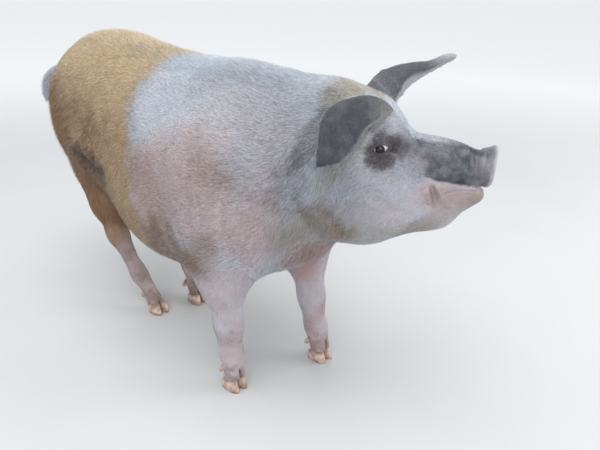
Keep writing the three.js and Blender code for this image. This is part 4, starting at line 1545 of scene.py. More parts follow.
class Value:
    """A number, colour or vector in a material, on which Python's operators add nodes."""

    def __init__(self, graph: "Graph", socket: bpy.types.NodeSocket) -> None:
        """Wraps one output of a node."""
        self.graph = graph
        self.socket = socket

    def __add__(self, other: "Operand") -> "Value":
        """Self plus other."""
        return self.graph.maths("ADD", self, other)

    def __radd__(self, other: float) -> "Value":
        """Other plus self."""
        return self.graph.maths("ADD", other, self)

    def __sub__(self, other: "Operand") -> "Value":
        """Self minus other."""
        return self.graph.maths("SUBTRACT", self, other)

    def __rsub__(self, other: float) -> "Value":
        """Other minus self."""
        return self.graph.maths("SUBTRACT", other, self)

    def __mul__(self, other: "Operand") -> "Value":
        """Self times other."""
        return self.graph.maths("MULTIPLY", self, other)

    def __rmul__(self, other: float) -> "Value":
        """Other times self."""
        return self.graph.maths("MULTIPLY", other, self)

    def clamped(self) -> "Value":
        """The value held between 0 and 1."""
        return self.graph.maths("MAXIMUM", self.graph.maths("MINIMUM", self, 1.0), 0.0)

    def stepped(self, low: float, high: float) -> "Value":
        """A soft step from 0 at low to 1 at high."""
        node = self.graph.node("ShaderNodeMapRange", {"interpolation_type": "SMOOTHSTEP"},
                               {"Value": self, "From Min": low, "From Max": high})
        return Value(self.graph, node.outputs["Result"])


Operand = Value | float
Colour = tuple[float, float, float, float]


class Graph:
    """The nodes of one material, or of the surround."""

    def __init__(self, owner: bpy.types.Material | bpy.types.World) -> None:
        """Starts the nodes of a new material or world."""
        owner.use_nodes = True
        self.owner = owner
        self.nodes = owner.node_tree.nodes
        self.links = owner.node_tree.links

    def node(self, kind: str, settings: dict[str, object], inputs: dict[str | int, object]) -> bpy.types.Node:
        """Adds a node.

        Args:
            kind: The node's type.
            settings: Properties of the node, set before its sockets.
            inputs: Numbers, colours or values for its sockets, by name or place.

        Returns:
            The node.
        """
        made = self.nodes.new(kind)
        for name, setting in settings.items():
            setattr(made, name, setting)
        for name, given in inputs.items():
            self.feed(made.inputs[name], given)
        return made

    def feed(self, socket: bpy.types.NodeSocket, given: object) -> None:
        """Links or sets one socket."""
        if isinstance(given, Value):
            self.links.new(given.socket, socket)
        else:
            socket.default_value = given

    def maths(self, operation: str, *given: Operand) -> Value:
        """One Math node."""
        made = self.node("ShaderNodeMath", {"operation": operation}, dict(enumerate(given)))
        return Value(self, made.outputs[0])

    def mix(self, share: Operand, below: Value | Colour, above: Value | Colour, blend: str = "MIX") -> Value:
        """Mixes two colours."""
        made = self.node("ShaderNodeMix", {"data_type": "RGBA", "blend_type": blend},
                         {0: share, 6: below, 7: above})
        return Value(self, made.outputs[2])

    def stored(self, name: str, part: int | None = None) -> Value:
        """A number stored on the mesh, or one part of four stored numbers.

        Args:
            name: The name of the stored numbers.
            part: Which of four, from 0 to 3.

        Returns:
            The number.
        """
        made = self.node("ShaderNodeAttribute", {"attribute_name": name}, {})
        if part is None:
            return Value(self, made.outputs["Fac"])
        if part == 3:
            return Value(self, made.outputs["Alpha"])
        split = self.node("ShaderNodeSeparateColor", {}, {"Color": Value(self, made.outputs["Color"])})
        return Value(self, split.outputs[part])

    def place(self) -> Value:
        """The place in the object's own space."""
        return Value(self, self.node("ShaderNodeTexCoord", {}, {}).outputs["Object"])

    def noise(self, scale: float, detail: float = 2.0, roughness: float = 0.5) -> Value:
        """Noise between about 0 and 1 in the object's own space, with its scale in bumps for each metre."""
        made = self.node("ShaderNodeTexNoise", {},
                         {"Vector": self.place(), "Scale": scale, "Detail": detail, "Roughness": roughness})
        return Value(self, made.outputs["Fac"])

    def cells(self, scale: float, feature: str = "F1") -> Value:
        """The distance to the nearest of scattered points, in the object's own space."""
        made = self.node("ShaderNodeTexVoronoi", {"feature": feature},
                         {"Vector": self.place(), "Scale": scale})
        return Value(self, made.outputs["Distance"])

    def bump(self, height: Value, distance: float, strength: float = 1.0) -> Value:
        """Bump from a height between 0 and 1 that stands for a distance in metres."""
        made = self.node("ShaderNodeBump", {}, {"Strength": strength, "Distance": distance, "Height": height})
        return Value(self, made.outputs["Normal"])

    def finish(self, **inputs: object) -> bpy.types.Material:
        """Feeds the sockets of a material's shader, whose names have _ for a space."""
        for name, given in inputs.items():
            self.feed(self.nodes["Principled BSDF"].inputs[name.replace("_", " ")], given)
        return self.owner


@dataclass(frozen=True)
class Palette:
    """The colours of skin or coat."""

    pale: Colour
    flush: Colour
    warm: Colour
    ginger: Colour
    deep: Colour
    slate: Colour
    violet: Colour
    rose: Colour
    # the colour of soil and of painted shade
    grime: Colour

    def painted(self, graph: Graph, below: Value | Colour) -> Value:
        """Lays the marks stored on a mesh over a base colour.

        Args:
            graph: The nodes of the material.
            below: The base colour.

        Returns:
            The colour with all marks.
        """
        colour: Value | Colour = below
        for mark in Mark:
            share = graph.stored("marks_a" if mark.value < 4 else "marks_b", mark.value % 4)
            colour = graph.mix(share, colour, getattr(self, mark.name.lower()))
        return colour


SKIN = Palette(
    pale=srgb(190, 191, 201), flush=srgb(196, 172, 172), warm=srgb(162, 153, 136), ginger=srgb(190, 163, 128),
    deep=srgb(106, 70, 34), slate=srgb(48, 53, 64), violet=srgb(42, 34, 44), rose=srgb(182, 132, 128),
    # this colour serves soil and painted shade
    grime=srgb(112, 87, 65),
)
COAT = Palette(
    pale=srgb(200, 210, 224), flush=srgb(197, 179, 181), warm=srgb(174, 166, 146), ginger=srgb(218, 197, 163),
    deep=srgb(134, 84, 28), slate=srgb(46, 51, 63), violet=srgb(52, 43, 56), rose=srgb(192, 148, 146),
    # this colour serves soil and painted shade
    grime=srgb(130, 102, 77),
)


@dataclass(frozen=True)
class HideFinish:
    """Bare skin under the coat: mottled, finely pored and creased."""

    name: str = "hide"

    def material(self) -> bpy.types.Material:
        """Builds the material.

        Returns:
            The material.
        """
        g = Graph(bpy.data.materials.new(self.name))
        broad, fine = g.noise(26.0, 3.0), g.noise(420.0, 2.0, 0.6)
        base = g.mix(broad.stepped(0.35, 0.7) * 0.35, SKIN.pale, SKIN.flush)
        colour = SKIN.painted(g, base)
        colour = g.mix(0.55, colour, g.mix(fine, srgb(140, 140, 140), srgb(255, 255, 255)), "MULTIPLY")
        pores = g.cells(1300.0)
        creases = g.cells(330.0, "DISTANCE_TO_EDGE").stepped(0.0, 0.12)
        height = 0.5 * fine + 0.3 * pores + 0.35 * creases
        return g.finish(Base_Color=colour, Roughness=0.5 + 0.22 * broad, Normal=g.bump(height, 0.0009, 0.8))


@dataclass(frozen=True)
class CoatFinish:
    """Bristles, each lighter or darker than its neighbours and paler towards its tip."""

    name: str = "bristle"

    def material(self) -> bpy.types.Material:
        """Builds the material.

        Returns:
            The material.
        """
        g = Graph(bpy.data.materials.new(self.name))
        colour = COAT.painted(g, COAT.pale)
        shade, tip = g.stored("shade"), g.stored("tip")
        colour = g.mix((shade * -1.0).clamped() * 0.55, colour, srgb(90, 76, 66), "MULTIPLY")
        colour = g.mix(shade.clamped() * 0.30, colour, srgb(236, 232, 226))
        colour = g.mix(tip * 0.12, colour, srgb(240, 236, 230))
        return g.finish(Base_Color=colour, Roughness=0.52 + 0.16 * g.noise(300.0))


@dataclass(frozen=True)
class HornFinish:
    """Pinkish horn with growth rings, scuffs and dirt."""

    name: str = "horn"

    def material(self) -> bpy.types.Material:
        """Builds the material.

        Returns:
            The material.
        """
        g = Graph(bpy.data.materials.new(self.name))
        rise = g.stored("rise")
        broad, fine = g.noise(70.0, 3.0), g.noise(600.0, 3.0, 0.6)
        wave = g.node("ShaderNodeTexWave", {"bands_direction": "Z", "wave_profile": "SIN"}, {
            "Vector": g.place(), "Scale": 95.0, "Distortion": 2.2, "Detail": 2.0, "Detail Scale": 1.4})
        rings = Value(g, wave.outputs["Fac"])
        colour = g.mix(broad.stepped(0.3, 0.7), srgb(204, 178, 166), srgb(178, 152, 138))
        colour = g.mix(rise.stepped(0.55, 1.0) * 0.6, colour, srgb(196, 174, 168))
        colour = g.mix(rings * 0.10, colour, srgb(142, 118, 104))
        dirt = rise.stepped(0.5, 0.0) * 0.45 + rise.stepped(0.75, 1.0) * 0.5
        dirt = (dirt + (broad - 0.42) * 2.0 + (fine - 0.45) * 1.6).clamped()
        colour = g.mix(dirt * 0.80, colour, srgb(94, 78, 64))
        height = rings * 0.3 + fine * 0.6
        return g.finish(Base_Color=colour, Roughness=0.38 + 0.4 * dirt, Normal=g.bump(height, 0.0006, 0.7))


@dataclass(frozen=True)
class EyeFinish:
    """A dark brown iris with a black pupil in a veined white ball, under a clear wet front."""

    name: str = "eyeball"

    def material(self) -> bpy.types.Material:
        """Builds the material.

        Returns:
            The material.
        """
        g = Graph(bpy.data.materials.new(self.name))
        ring, streak = g.stored("ring"), g.noise(900.0, 3.0, 0.7)
        ragged = ring + (streak - 0.5) * 0.03
        iris = g.mix(streak.stepped(0.35, 0.65), srgb(14, 10, 11), srgb(34, 23, 21))
        iris = g.mix(ragged.stepped(0.50, 0.62), iris, srgb(14, 11, 12))
        colour = g.mix(ragged.stepped(0.28, 0.33), srgb(4, 4, 5), iris)
        veins = g.noise(260.0, 4.0, 0.75).stepped(0.56, 0.68)
        white = g.mix(veins * 0.35, srgb(178, 174, 180), srgb(176, 128, 124))
        white = g.mix(ring.stepped(0.84, 1.12) * 0.7, white, srgb(150, 116, 112))
        colour = g.mix(ragged.stepped(0.62, 0.68), colour, white)
        return g.finish(Base_Color=colour, Roughness=0.06 + 0.1 * veins, Specular_IOR_Level=0.4)


# ---- Horn and eyeballs -----------------------------------------------------------------------------


def skin_of_rings(rings: Sequence[Array]) -> tuple[Array, Array]:
    """Joins closed rings of equal count into one closed mesh with an end at each side.

    Args:
        rings: Rings of points, each shape (n, 3), all round the same way.

    Returns:
        The points, and the triangles facing outwards.
    """
    count = len(rings[0])
    points = np.vstack([*rings, rings[0].mean(0)[None], rings[-1].mean(0)[None]])
    i = np.arange(count)
    j = (i + 1) % count
    corners = []
    for k in range(len(rings) - 1):
        low, high = k * count, (k + 1) * count
        corners += [np.stack([low + i, low + j, high + j], 1), np.stack([low + i, high + j, high + i], 1)]
    first, last = len(rings) * count, len(rings) * count + 1
    top = (len(rings) - 1) * count
    corners.append(np.stack([j, i, np.full(count, first)], 1))
    corners.append(np.stack([top + i, top + j, np.full(count, last)], 1))
    made = np.vstack(corners)
    a, b, c = (points[made[:, k]] for k in range(3))
    inward = dot(np.cross(b - a, c - a), a - points.mean(axis=0)).sum() < 0
    return points, made[:, ::-1] if inward else made


@dataclass(frozen=True)
class Hooves:
    """The two hooves and two dewclaws of each foot, in millimetres."""

    stance: Stance
    length: float = 50.0
    width: float = 22.0
    split: float = 2.5
    rake: float = 11.0
    sides: int = 64
    rings: int = 26
    claw_back: float = 28.0
    claw_side: float = 15.0
    claw_up: float = 43.0
    claw_length: float = 18.0
    claw_radius: float = 6.6

    def hoof(self, foot: LocalFrame, toe: int) -> tuple[Array, Array, Array]:
        """One hoof: points, triangles and each point's share of the height.

        Args:
            foot: The foot's frame.
            toe: The side of the foot.

        Returns:
            The points, the triangles, and each point's rise from 0 to 1.
        """
        made, rises = [], []
        angle = np.linspace(0, 2 * math.pi, self.sides, endpoint=False)
        levels = np.concatenate([[0.0, 0.03], np.linspace(0.07, 1.0, self.rings), [1.06]])
        for level in levels:
            inset = 1.2 * step(0.05, 0.0, np.array(level)) + 2.4 * step(0.97, 1.06, np.array(level))
            ridge = 0.22 * math.sin(level * 34.0) * (0.1 < level < 0.95)
            bulge = 0.5 * math.sin(math.pi * min(level, 1.0))
            half = self.length / 2 - self.rake / 2 * level - inset + ridge + bulge
            wide = self.width / 2 * (1 - 0.1 * level) - 0.7 * inset + ridge + 0.5 * bulge

            def squared(wave: Array) -> Array:
                """A wave with fuller shoulders."""
                return np.sign(wave) * np.abs(wave) ** 0.74

            ahead = half * squared(np.cos(angle)) - self.rake / 2 * level
            pointed = 1 - 0.42 * np.maximum(ahead / half, 0) ** 3
            across = np.maximum(wide * squared(np.sin(angle)) * pointed, -wide * 0.92)
            across = across + self.width / 2 * (1 - 0.1 * level)
            wave = 0.25 * np.sin(5 * angle + 9 * level) * (0.1 < level < 0.9)
            height = coronet_height(ahead) * level + wave
            ring = np.stack([ahead, toe * (self.split / 2 + across), np.maximum(height, 0.0)], axis=-1)
            made.append(foot.out(ring if toe == LEFT else ring[::-1]))
            rises.append(np.full(self.sides, min(level, 1.0)))
        points, corners = skin_of_rings(made)
        return points, corners, np.concatenate([*rises, [0.0, 1.0]])

    def dewclaw(self, foot: LocalFrame, pastern: Array, toe: int) -> tuple[Array, Array, Array]:
        """One dewclaw, a blunt curved cone that hangs behind the pastern.

        Args:
            foot: The foot's frame.
            pastern: The place of the pastern in the world.
            toe: The side of the foot.

        Returns:
            The points, the triangles, and each point's rise from 0 to 1.
        """
        lengthwise, side, up = self.claw_length, self.claw_side, self.claw_up
        line = np.array([(lengthwise * 0.5, side - 4, lengthwise * 0.6), (0, side - 1, 0),
                         (-lengthwise * 0.26, side, -lengthwise * 0.55)])
        line = line * (1, toe, 1) + (-self.claw_back, 0, up)
        steps, sides = 22, 28
        path = curve_through(line, steps)
        run = unit(np.gradient(path, axis=0))
        out = unit(np.cross(run, np.array([0.0, 0.0, 1.0])))
        over = np.cross(run, out)
        angle = np.linspace(0, 2 * math.pi, sides, endpoint=False)[None, :, None]
        t = np.linspace(0, 1, steps)
        blunt = np.sqrt(np.maximum(1 - np.maximum(t - 0.8, 0) ** 2 / 0.042, 0.02))
        radius = self.claw_radius * (1 - 0.5 * t * t) * blunt
        radius = radius + 0.18 * np.sin(t * 26) * (t < 0.85)
        ring = np.cos(angle) * over[:, None] + np.sin(angle) * out[:, None]
        rings = path[:, None] + radius[:, None, None] * ring
        base = LocalFrame(np.array([pastern[0], pastern[1], 0.0]), foot.axes)
        points, corners = skin_of_rings([base.out(ring) for ring in rings])
        rise = np.concatenate([np.repeat(1 - t, sides), [1.0, 0.0]])
        return points, corners, rise

    def build(self) -> None:
        """Makes the horn of all four feet."""
        finish = HornFinish().material()
        for leg in LEG_NAMES:
            foot = self.stance.foot(leg)
            pastern = self.stance.body().out(self.stance.path(leg)[-1, :3])
            parts = [self.hoof(foot, toe) for toe in (RIGHT, LEFT)]
            parts += [self.dewclaw(foot, pastern, toe) for toe in (RIGHT, LEFT)]
            starts = np.cumsum([0, *(len(p[0]) for p in parts)])
            made = add_mesh(f"horn_{leg}", np.vstack([p[0] for p in parts]),
                            np.vstack([p[1] + s for p, s in zip(parts, starts)]))
            add_numbers(made, "rise", np.concatenate([p[2] for p in parts]))
            nodes = [f"{leg}_{kind}_{side}" for kind in ("hoof", "dewclaw") for side in ("right", "left")]
            place_piece(made, finish, nodes)


@dataclass(frozen=True)
class Eyeballs:
    """The two eyeballs, each with a clear bulge at its front."""

    stance: Stance
    iris_along: float = -2.0  # where the iris sits between the lids, in millimetres
    iris_up: float = -0.8
    rings: int = 44
    sides: int = 56

    def build(self) -> None:
        """Makes both eyeballs."""
        finish = EyeFinish().material()
        for eye in EYES:
            home = eye.frame(self.stance.head())
            angle = np.linspace(0, 2 * math.pi, self.sides, endpoint=False)
            shares = np.linspace(0.006, 0.994, self.rings) ** 1.25
            rings, marks = [], []
            for lean in shares * math.pi:
                along, up = (eye.radius * math.sin(lean) * wave(angle) for wave in (np.cos, np.sin))
                ring = np.hypot(along * eye.stretch - self.iris_along, up - self.iris_up) / eye.radius
                out = eye.radius * math.cos(lean) + 0.8 * np.exp(-((ring / 0.5) ** 2)) * (lean < 1.5)
                rings.append(home.out(np.stack([along * eye.stretch, up, out], axis=-1)))
                marks.append(ring if lean < 1.5 else np.full(self.sides, 2.0))
            points, corners = skin_of_rings(rings)
            made = add_mesh(f"eyeball_{eye.name[4:]}", points, corners)
            add_numbers(made, "ring", np.concatenate([*marks, [marks[0].mean(), 2.0]]))
            place_piece(made, finish, [eye.name])


# ---- The hide --------------------------------------------------------------------------------------


@dataclass
class Hide:
    """The finished skin: refined where it is detailed, folded, lidded and marked."""

    stance: Stance
    cleft: Crease = Crease(4.0, 2.6)
    cleft_line: tuple[tuple[float, float, float], ...] = ((30, 0, 20), (27, 0, 34), (22, 0, 50), (16, 0, 66))
    heel: Crease = Crease(4.0, 2.0)
    heel_line: tuple[tuple[float, float, float], ...] = ((-20, 0, 18), (-20, 0, 28), (-18, 0, 40))
    tendon: Crease = Crease(4.2, 1.5, 0.5)
    tendon_back: float = 9.0
    tendon_side: float = 16.0
    muzzle_start: float = 96.0
    unevenness: float = 0.35 * MM

    def creases(self, made: Lattice) -> list[tuple[Crease, Array]]:
        """All creases, with their lines laid on the skin: the folds, and those of the feet.

        Args:
            made: The skin's field.

        Returns:
            Each crease with its line of points.
        """
        found = [(fold.crease, line) for fold in FOLDS for line in fold.lines(self.stance)]
        for leg in LEG_NAMES:
            foot = self.stance.foot(leg)
            found.append((self.cleft, foot.out(curve_through(np.array(self.cleft_line, float), 24))))
            found.append((self.heel, foot.out(curve_through(np.array(self.heel_line, float), 20))))
            shank = curve_through(self.stance.path(leg)[1:, :3], 24)[5:22]
            for sign in (RIGHT, LEFT):
                beside = np.array([-self.tendon_back, sign * self.tendon_side, 0.0])
                found.append((self.tendon, self.stance.body().out(shank + beside)))
        return [(crease, made.snapped(line)) for crease, line in found]

    def near_eyes(self, points: Array, reach: float) -> Array:
        """Which points lie near an eye."""
        near = np.zeros(len(points), bool)
        for eye in EYES:
            near |= np.linalg.norm(points - node_middle(eye.name), axis=1) < reach
        return near

    def near_edges(self, points: Array, reach: float) -> Array:
        """Which points lie near the edge of an opening between lids.

        Args:
            points: Points, shape (n, 3).
            reach: How near, in metres.

        Returns:
            A mask.
        """
        near = np.zeros(len(points), bool)
        for eye in EYES:
            local = eye.frame(self.stance.head()).into(points)
            in_front = (local[:, 2] > 2) & (np.abs(local).max(axis=1) < 20)
            near |= in_front & (np.abs(eye.edge(local[:, 0], local[:, 1])) < reach)
        return near

    def on_muzzle(self, points: Array) -> Array:
        """Which points lie on the muzzle."""
        return self.stance.head().into(points)[:, 0] > self.muzzle_start

    def detailed(self, made: Lattice, plain: Surface) -> Surface:
        """Refines and shapes the plain surface.

        Args:
            made: The field of the skin.
            plain: The surface read from the field.

        Returns:
            The surface with its folds, swells and lids.
        """
        fine = plain.refined(lambda p: self.near_eyes(p, 30 * MM) | self.on_muzzle(p))
        fine = fine.refined(lambda p: self.near_eyes(p, 18 * MM))
        fine = fine.refined(lambda p: self.near_edges(p, 2.6))
        out = self.unevenness * Clouds(11).at(fine.points / MM, 24.0, 2)
        for crease, line in self.creases(made):
            reach = 4.5 * crease.width * MM
            low, high = line.min(0) - reach, line.max(0) + reach
            near = np.flatnonzero(((fine.points > low) & (fine.points < high)).all(axis=1))
            out[near] += crease.height_at(fine.points[near], line)
        for swell in SWELLS:
            out += swell.height_at(self.stance, fine.points)
        points = fine.points + fine.normals() * out[:, None]
        for eye in EYES:
            home = eye.frame(self.stance.head())
            near = np.flatnonzero(np.linalg.norm(points - home.origin, axis=1) < 34 * MM)
            points[near] = home.out(eye.shape(home.into(points[near])))
        return Surface(points, fine.corners)

    def build(self, skin: Skin, made: Lattice) -> tuple[Surface, Places]:
        """Makes the skin piece.

        Args:
            skin: The skin's maker.
            made: The skin's field.

        Returns:
            The finished surface and the places of its points.
        """
        surface = self.detailed(made, skin.surface(made))
        normals = surface.normals()
        places = Anatomy(self.stance).places(surface.points, normals)
        marks = Markings(places).laid()
        piece = add_mesh("skin", surface.points, surface.corners)
        add_numbers(piece, "marks_a", marks[:, :4])
        add_numbers(piece, "marks_b", marks[:, 4:])
        apart = ("eye_", "hoof", "dewclaw")
        flesh = [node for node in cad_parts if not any(word in node for word in apart)]
        place_piece(piece, HideFinish().material(), flesh)
        return surface, places


# ---- The coat --------------------------------------------------------------------------------------


@dataclass
class Style:
    """How the bristles stand at each place: lengths in millimetres, angles in radians."""

    density: Array  # bristles for each square metre
    length: Array
    width: Array
    tilt: Array
    curl: Array  # 0 straight to 1 curled
    bent: Array  # share of bristles made in two parts
    lay: Array  # unit vectors along the skin

    def picked(self, rows: Array) -> "Style":
        """The style at some of the places."""
        return Style(*(getattr(self, name)[rows] for name in self.__dataclass_fields__))

    def blend(self, share: Array, **wanted: float | Array) -> None:
        """Moves the named qualities towards wanted values, by a share from 0 to 1 at each place."""
        for name, value in wanted.items():
            now = getattr(self, name)
            setattr(self, name, now + (share if now.ndim == 1 else share[:, None]) * (value - now))

    def put(self, where: Array, **wanted: float | Array) -> None:
        """Sets the named qualities where a mask is true."""
        for name, value in wanted.items():
            now = getattr(self, name)
            setattr(self, name, np.where(where if now.ndim == 1 else where[:, None], value, now))


def flattened(lay: Array, normal: Array) -> Array:
    """Directions laid flat on the skin."""
    return unit(lay - normal * dot(lay, normal)[:, None])


def swung(lay: Array, normal: Array, angle: Array) -> Array:
    """Directions along the skin, turned about its normal by an angle each."""
    return lay * np.cos(angle)[:, None] + np.cross(normal, lay) * np.sin(angle)[:, None]


@dataclass
class Roots:
    """The roots of bristles: where they are, how they stand and what colour they have."""

    at: Places
    how: Style
    marks: Array
    shade: Array  # how much lighter or darker each bristle is than its marks

    def picked(self, rows: Array) -> "Roots":
        """Some of the roots."""
        return Roots(self.at.picked(rows), self.how.picked(rows), self.marks[rows], self.shade[rows])


@dataclass(frozen=True)
class BristleForm:
    """The points of one kind of bristle, and the triangles between them."""

    corners: tuple[tuple[int, int, int], ...]
    rise: tuple[float, ...]  # 0 at the root to 1 at the tip, for each point
    spots: tuple[tuple[float, float], ...]  # each point's place on the bristle's patch of the map, -1 to 1


STRAIGHT = BristleForm(
    ((1, 0, 3), (0, 2, 3), (2, 1, 3), (0, 1, 2)),
    (0, 0, 0, 1),
    ((-1, -1), (1, -1), (0, -0.2), (0, 1)),
)
BENT = BristleForm(
    ((0, 1, 2), (1, 0, 3), (1, 3, 4), (0, 2, 5), (0, 5, 3),
     (2, 1, 4), (2, 4, 5), (4, 3, 6), (3, 5, 6), (5, 4, 6)),
    (0, 0, 0, 0.5, 0.5, 0.5, 1),
    ((-1, -1), (1, -1), (0, -0.4), (-0.6, 0), (0.6, 0), (0, 0.3), (0, 1)),
)


@dataclass
class Coat:
    """Short bristles over the whole skin, in pieces by region."""

    stance: Stance
    seed: int = 23
    thickness: float = 0.45  # of a bristle, as a share of its width
    depth: float = 0.3 * MM  # how far a root sits in the skin
    patch: float = 0.003
    piece_limit: int = 190000

    def style(self, places: Places) -> Style:
        """How the coat lies at each place.

        Args:
            places: Places on the skin.

        Returns:
            The style at each.
        """
        made = self.on_trunk(places)
        self.on_head(made, places)
        self.on_legs(made, places)
        self.on_ears(made, places)
        self.on_tail(made, places)
        made.density = made.density * self.grown(places)
        made.lay = flattened(made.lay, places.normal)
        swirl = 1.6 * made.curl * Clouds(31).at(places.world / MM + 90, 24.0, 2)
        made.lay = unit(swung(made.lay, places.normal, swirl))
        return made

    def on_trunk(self, places: Places) -> Style:
        """The style of the trunk: longer on the ridge of the back, and shaggy on the ham.

        Args:
            places: Places on the skin.

        Returns:
            The style at each.
        """
        x, _, z = places.body.T
        nz = places.normal[:, 2]
        level, nought = np.ones(len(x)), np.zeros(len(x))
        drift = Clouds(31).at(places.world / MM, 70.0, 2)
        ham = step(-180, -330, x) * step(650, 560, z) * step(300, 380, z)
        ridge = step(0.80, 0.97, nz) * step(460, 360, x)
        belly = step(-0.35, -0.8, nz)
        rump, end = step(60, -80, x), step(-300, -520, x)
        side = 1 - np.abs(nz)
        lay = np.stack([-level, 0.12 * drift, -(0.28 + 0.95 * rump) * side], axis=-1)
        return Style(
            density=160000.0 * (1 - 0.45 * belly),
            length=12.5 + 2.0 * drift + 7.0 * ridge + 5.0 * ham + 3.0 * belly + 3.0 * rump,
            width=0.80 * level,
            tilt=np.radians(8 + 11 * ridge + 14 * ham + 6 * belly + 2 * drift + 3 * rump),
            curl=0.08 + 0.62 * ham,
            bent=0.02 + 0.30 * ridge + 0.40 * ham,
            lay=lay + end[:, None] * np.stack([0.55 * level, nought, -0.9 * side - 0.2], axis=-1),
        )

    def on_head(self, made: Style, places: Places) -> None:
        """Shorter and finer hair towards the snout, which hangs on cheek and jowl.

        Args:
            made: The style, which changes.
            places: The places on the skin that it is for.
        """
        f, s, u = places.head.T
        cheek = step(20, -60, u) * step(120, -30, f)
        jowl = step(-20, -110, f) * step(40, -30, u)
        fringe = step(46, 12, np.abs(f + 165)) * step(-60, -110, u) * (np.abs(s) > 60)
        parting = 0.15 * np.sign(s) * step(40, 90, u)
        lay = np.stack([-np.ones(len(f)), parting, -0.18 - 0.75 * cheek - 1.3 * jowl], axis=-1)
        face = np.interp(f, (-170, -60, 30, 120, 200), (14.5, 10.5, 6.5, 4.4, 3.0))
        made.blend(
            step(-235, -120, f) * (places.body[:, 0] > 300),
            lay=self.stance.head().direction(lay),
            length=face + 2.0 * cheek + 6 * fringe,
            width=np.interp(f, (-150, -20, 120, 200), (0.8, 0.62, 0.46, 0.36)),
            tilt=np.radians(13 + 8 * cheek + 6 * fringe),
            density=np.interp(f, (-150, 0, 150), (190000, 260000, 230000)),
            bent=0.02 + 0.5 * fringe + 0.12 * cheek,
            curl=0.10 + 0.2 * cheek,
        )

    def on_legs(self, made: Style, places: Places) -> None:
        """Short hair that lies down the legs.

        Args:
            made: The style, which changes.
            places: The places on the skin that it is for.
        """
        made.blend(
            (places.leg >= 0) * step(0.2, 1.0, places.leg_along),
            lay=np.array([-0.22, 0.0, -1.0]),
            length=np.interp(places.leg_along, (0, 1, 2, 3, 4), (11, 7.5, 5.5, 4.4, 3.6)),
            width=0.44,
            density=230000.0,
            tilt=math.radians(10),
            bent=0.0,
        )

    def on_ears(self, made: Style, places: Places) -> None:
        """Very short hair along the ears, sparse in the cup and longer on the rim.

        Args:
            made: The style, which changes.
            places: The places on the skin that it is for.
        """
        outer = places.ear_face > 0
        rim = np.abs(places.ear_across) > 0.86
        runs = [np.array(ear.rows[-1][1], float) - np.array(ear.rows[0][1], float) for ear in EARS]
        along = self.stance.head().direction(unit(np.array(runs)))
        made.put(
            places.ear != 0,
            lay=np.where(places.ear[:, None] < 0, along[0], along[1]),
            length=np.where(rim, 7.5, np.where(outer, 5.0, 7.0)),
            width=0.45,
            tilt=np.radians(np.where(rim, 16, 10)),
            density=np.where(outer, 300000.0, 110000.0),
            bent=0.0,
        )

    def on_tail(self, made: Style, places: Places) -> None:
        """Longer, curled hair along the tail.

        Args:
            made: The style, which changes.
            places: The places on the skin that it is for.
        """
        path = Tail().path()
        flow = unit(np.gradient(path, axis=0))
        rows = np.clip((places.tail * (len(path) - 1)).astype(int), 0, len(path) - 1)
        made.put(
            places.tail > 0.05,
            lay=flow[rows],
            length=10 + 9 * np.clip(places.tail, 0, 1),
            tilt=math.radians(20),
            density=330000.0,
            bent=0.8,
            curl=0.4,
        )

    def grown(self, places: Places) -> Array:
        """0 where no bristles grow, round the eyes, on the disc and below the coronets, and 1 elsewhere.

        Args:
            places: Places on the skin.

        Returns:
            The shares, from 0 to 1.
        """
        made = 1 - step(199, 204, places.head[:, 0]) * 0.93
        for eye in EYES:
            local = eye.frame(self.stance.head()).into(places.world)
            near = (np.abs(local) < 30).all(axis=1)
            made[near] *= step(1.2, 5.0, eye.edge(local[near, 0], local[near, 1]))
        for leg in LEG_NAMES:
            ahead, across, up = self.stance.foot(leg).into(places.world).T
            near = (np.abs(ahead) < 60) & (np.abs(across) < 50) & (up < 60)
            end = coronet_height(ahead)
            made[near] *= step(end - 0.5, end + 1.0, up)[near]
        return made

    def roots(self, surface: Surface, places: Places, style: Style) -> tuple[Places, Style, Array]:
        """Chooses the places of bristles.

        Args:
            surface: The skin.
            places: The places of the skin's points.
            style: The style at the skin's points.

        Returns:
            The places and style at each root, and a random number from 0 to 1 for each.
        """
        chance = np.random.default_rng(self.seed)
        a, b, c = (surface.points[surface.corners[:, k]] for k in range(3))
        area = np.linalg.norm(np.cross(b - a, c - a), axis=1) / 2
        wanted = np.cumsum(area * style.density[surface.corners].mean(axis=1))
        marks = np.arange(0.5, wanted[-1])
        chosen = np.searchsorted(wanted, marks)
        p, q = chance.random((2, len(chosen)))
        over = p + q > 1
        p, q = np.where(over, 1 - p, p), np.where(over, 1 - q, q)
        weights = np.stack([1 - p - q, p, q], axis=-1)
        corners = surface.corners[chosen]

        def spread(values: Array) -> Array:
            """Values at the roots, between those of the corners."""
            if values.ndim == 1:
                return np.einsum("nk,nk->n", values[corners], weights)
            return np.einsum("nkc,nk->nc", values[corners], weights)

        nearest = corners[np.arange(len(corners)), weights.argmax(axis=1)]
        whole = {"ear", "ear_face", "leg", "tail"}
        at = Places(*(getattr(places, name)[nearest] if name in whole else spread(getattr(places, name))
                      for name in Places.__dataclass_fields__))
        at.normal = unit(at.normal)
        how = Style(*(spread(getattr(style, name)) for name in Style.__dataclass_fields__))
        how.lay = flattened(how.lay, at.normal)
        return at, how, chance.random(len(chosen))

    def charts(self, at: Places, faces: Array) -> list[tuple[str, Array, Array]]:
        """Sorts roots into pieces.

        Args:
            at: The places of the roots.
            faces: How many triangles the bristle at each root is likely to have.

        Returns:
            For each piece its name, the rows of its roots, and their places on its chart.
        """
        made = []
        taken = np.zeros(len(at.world), bool)

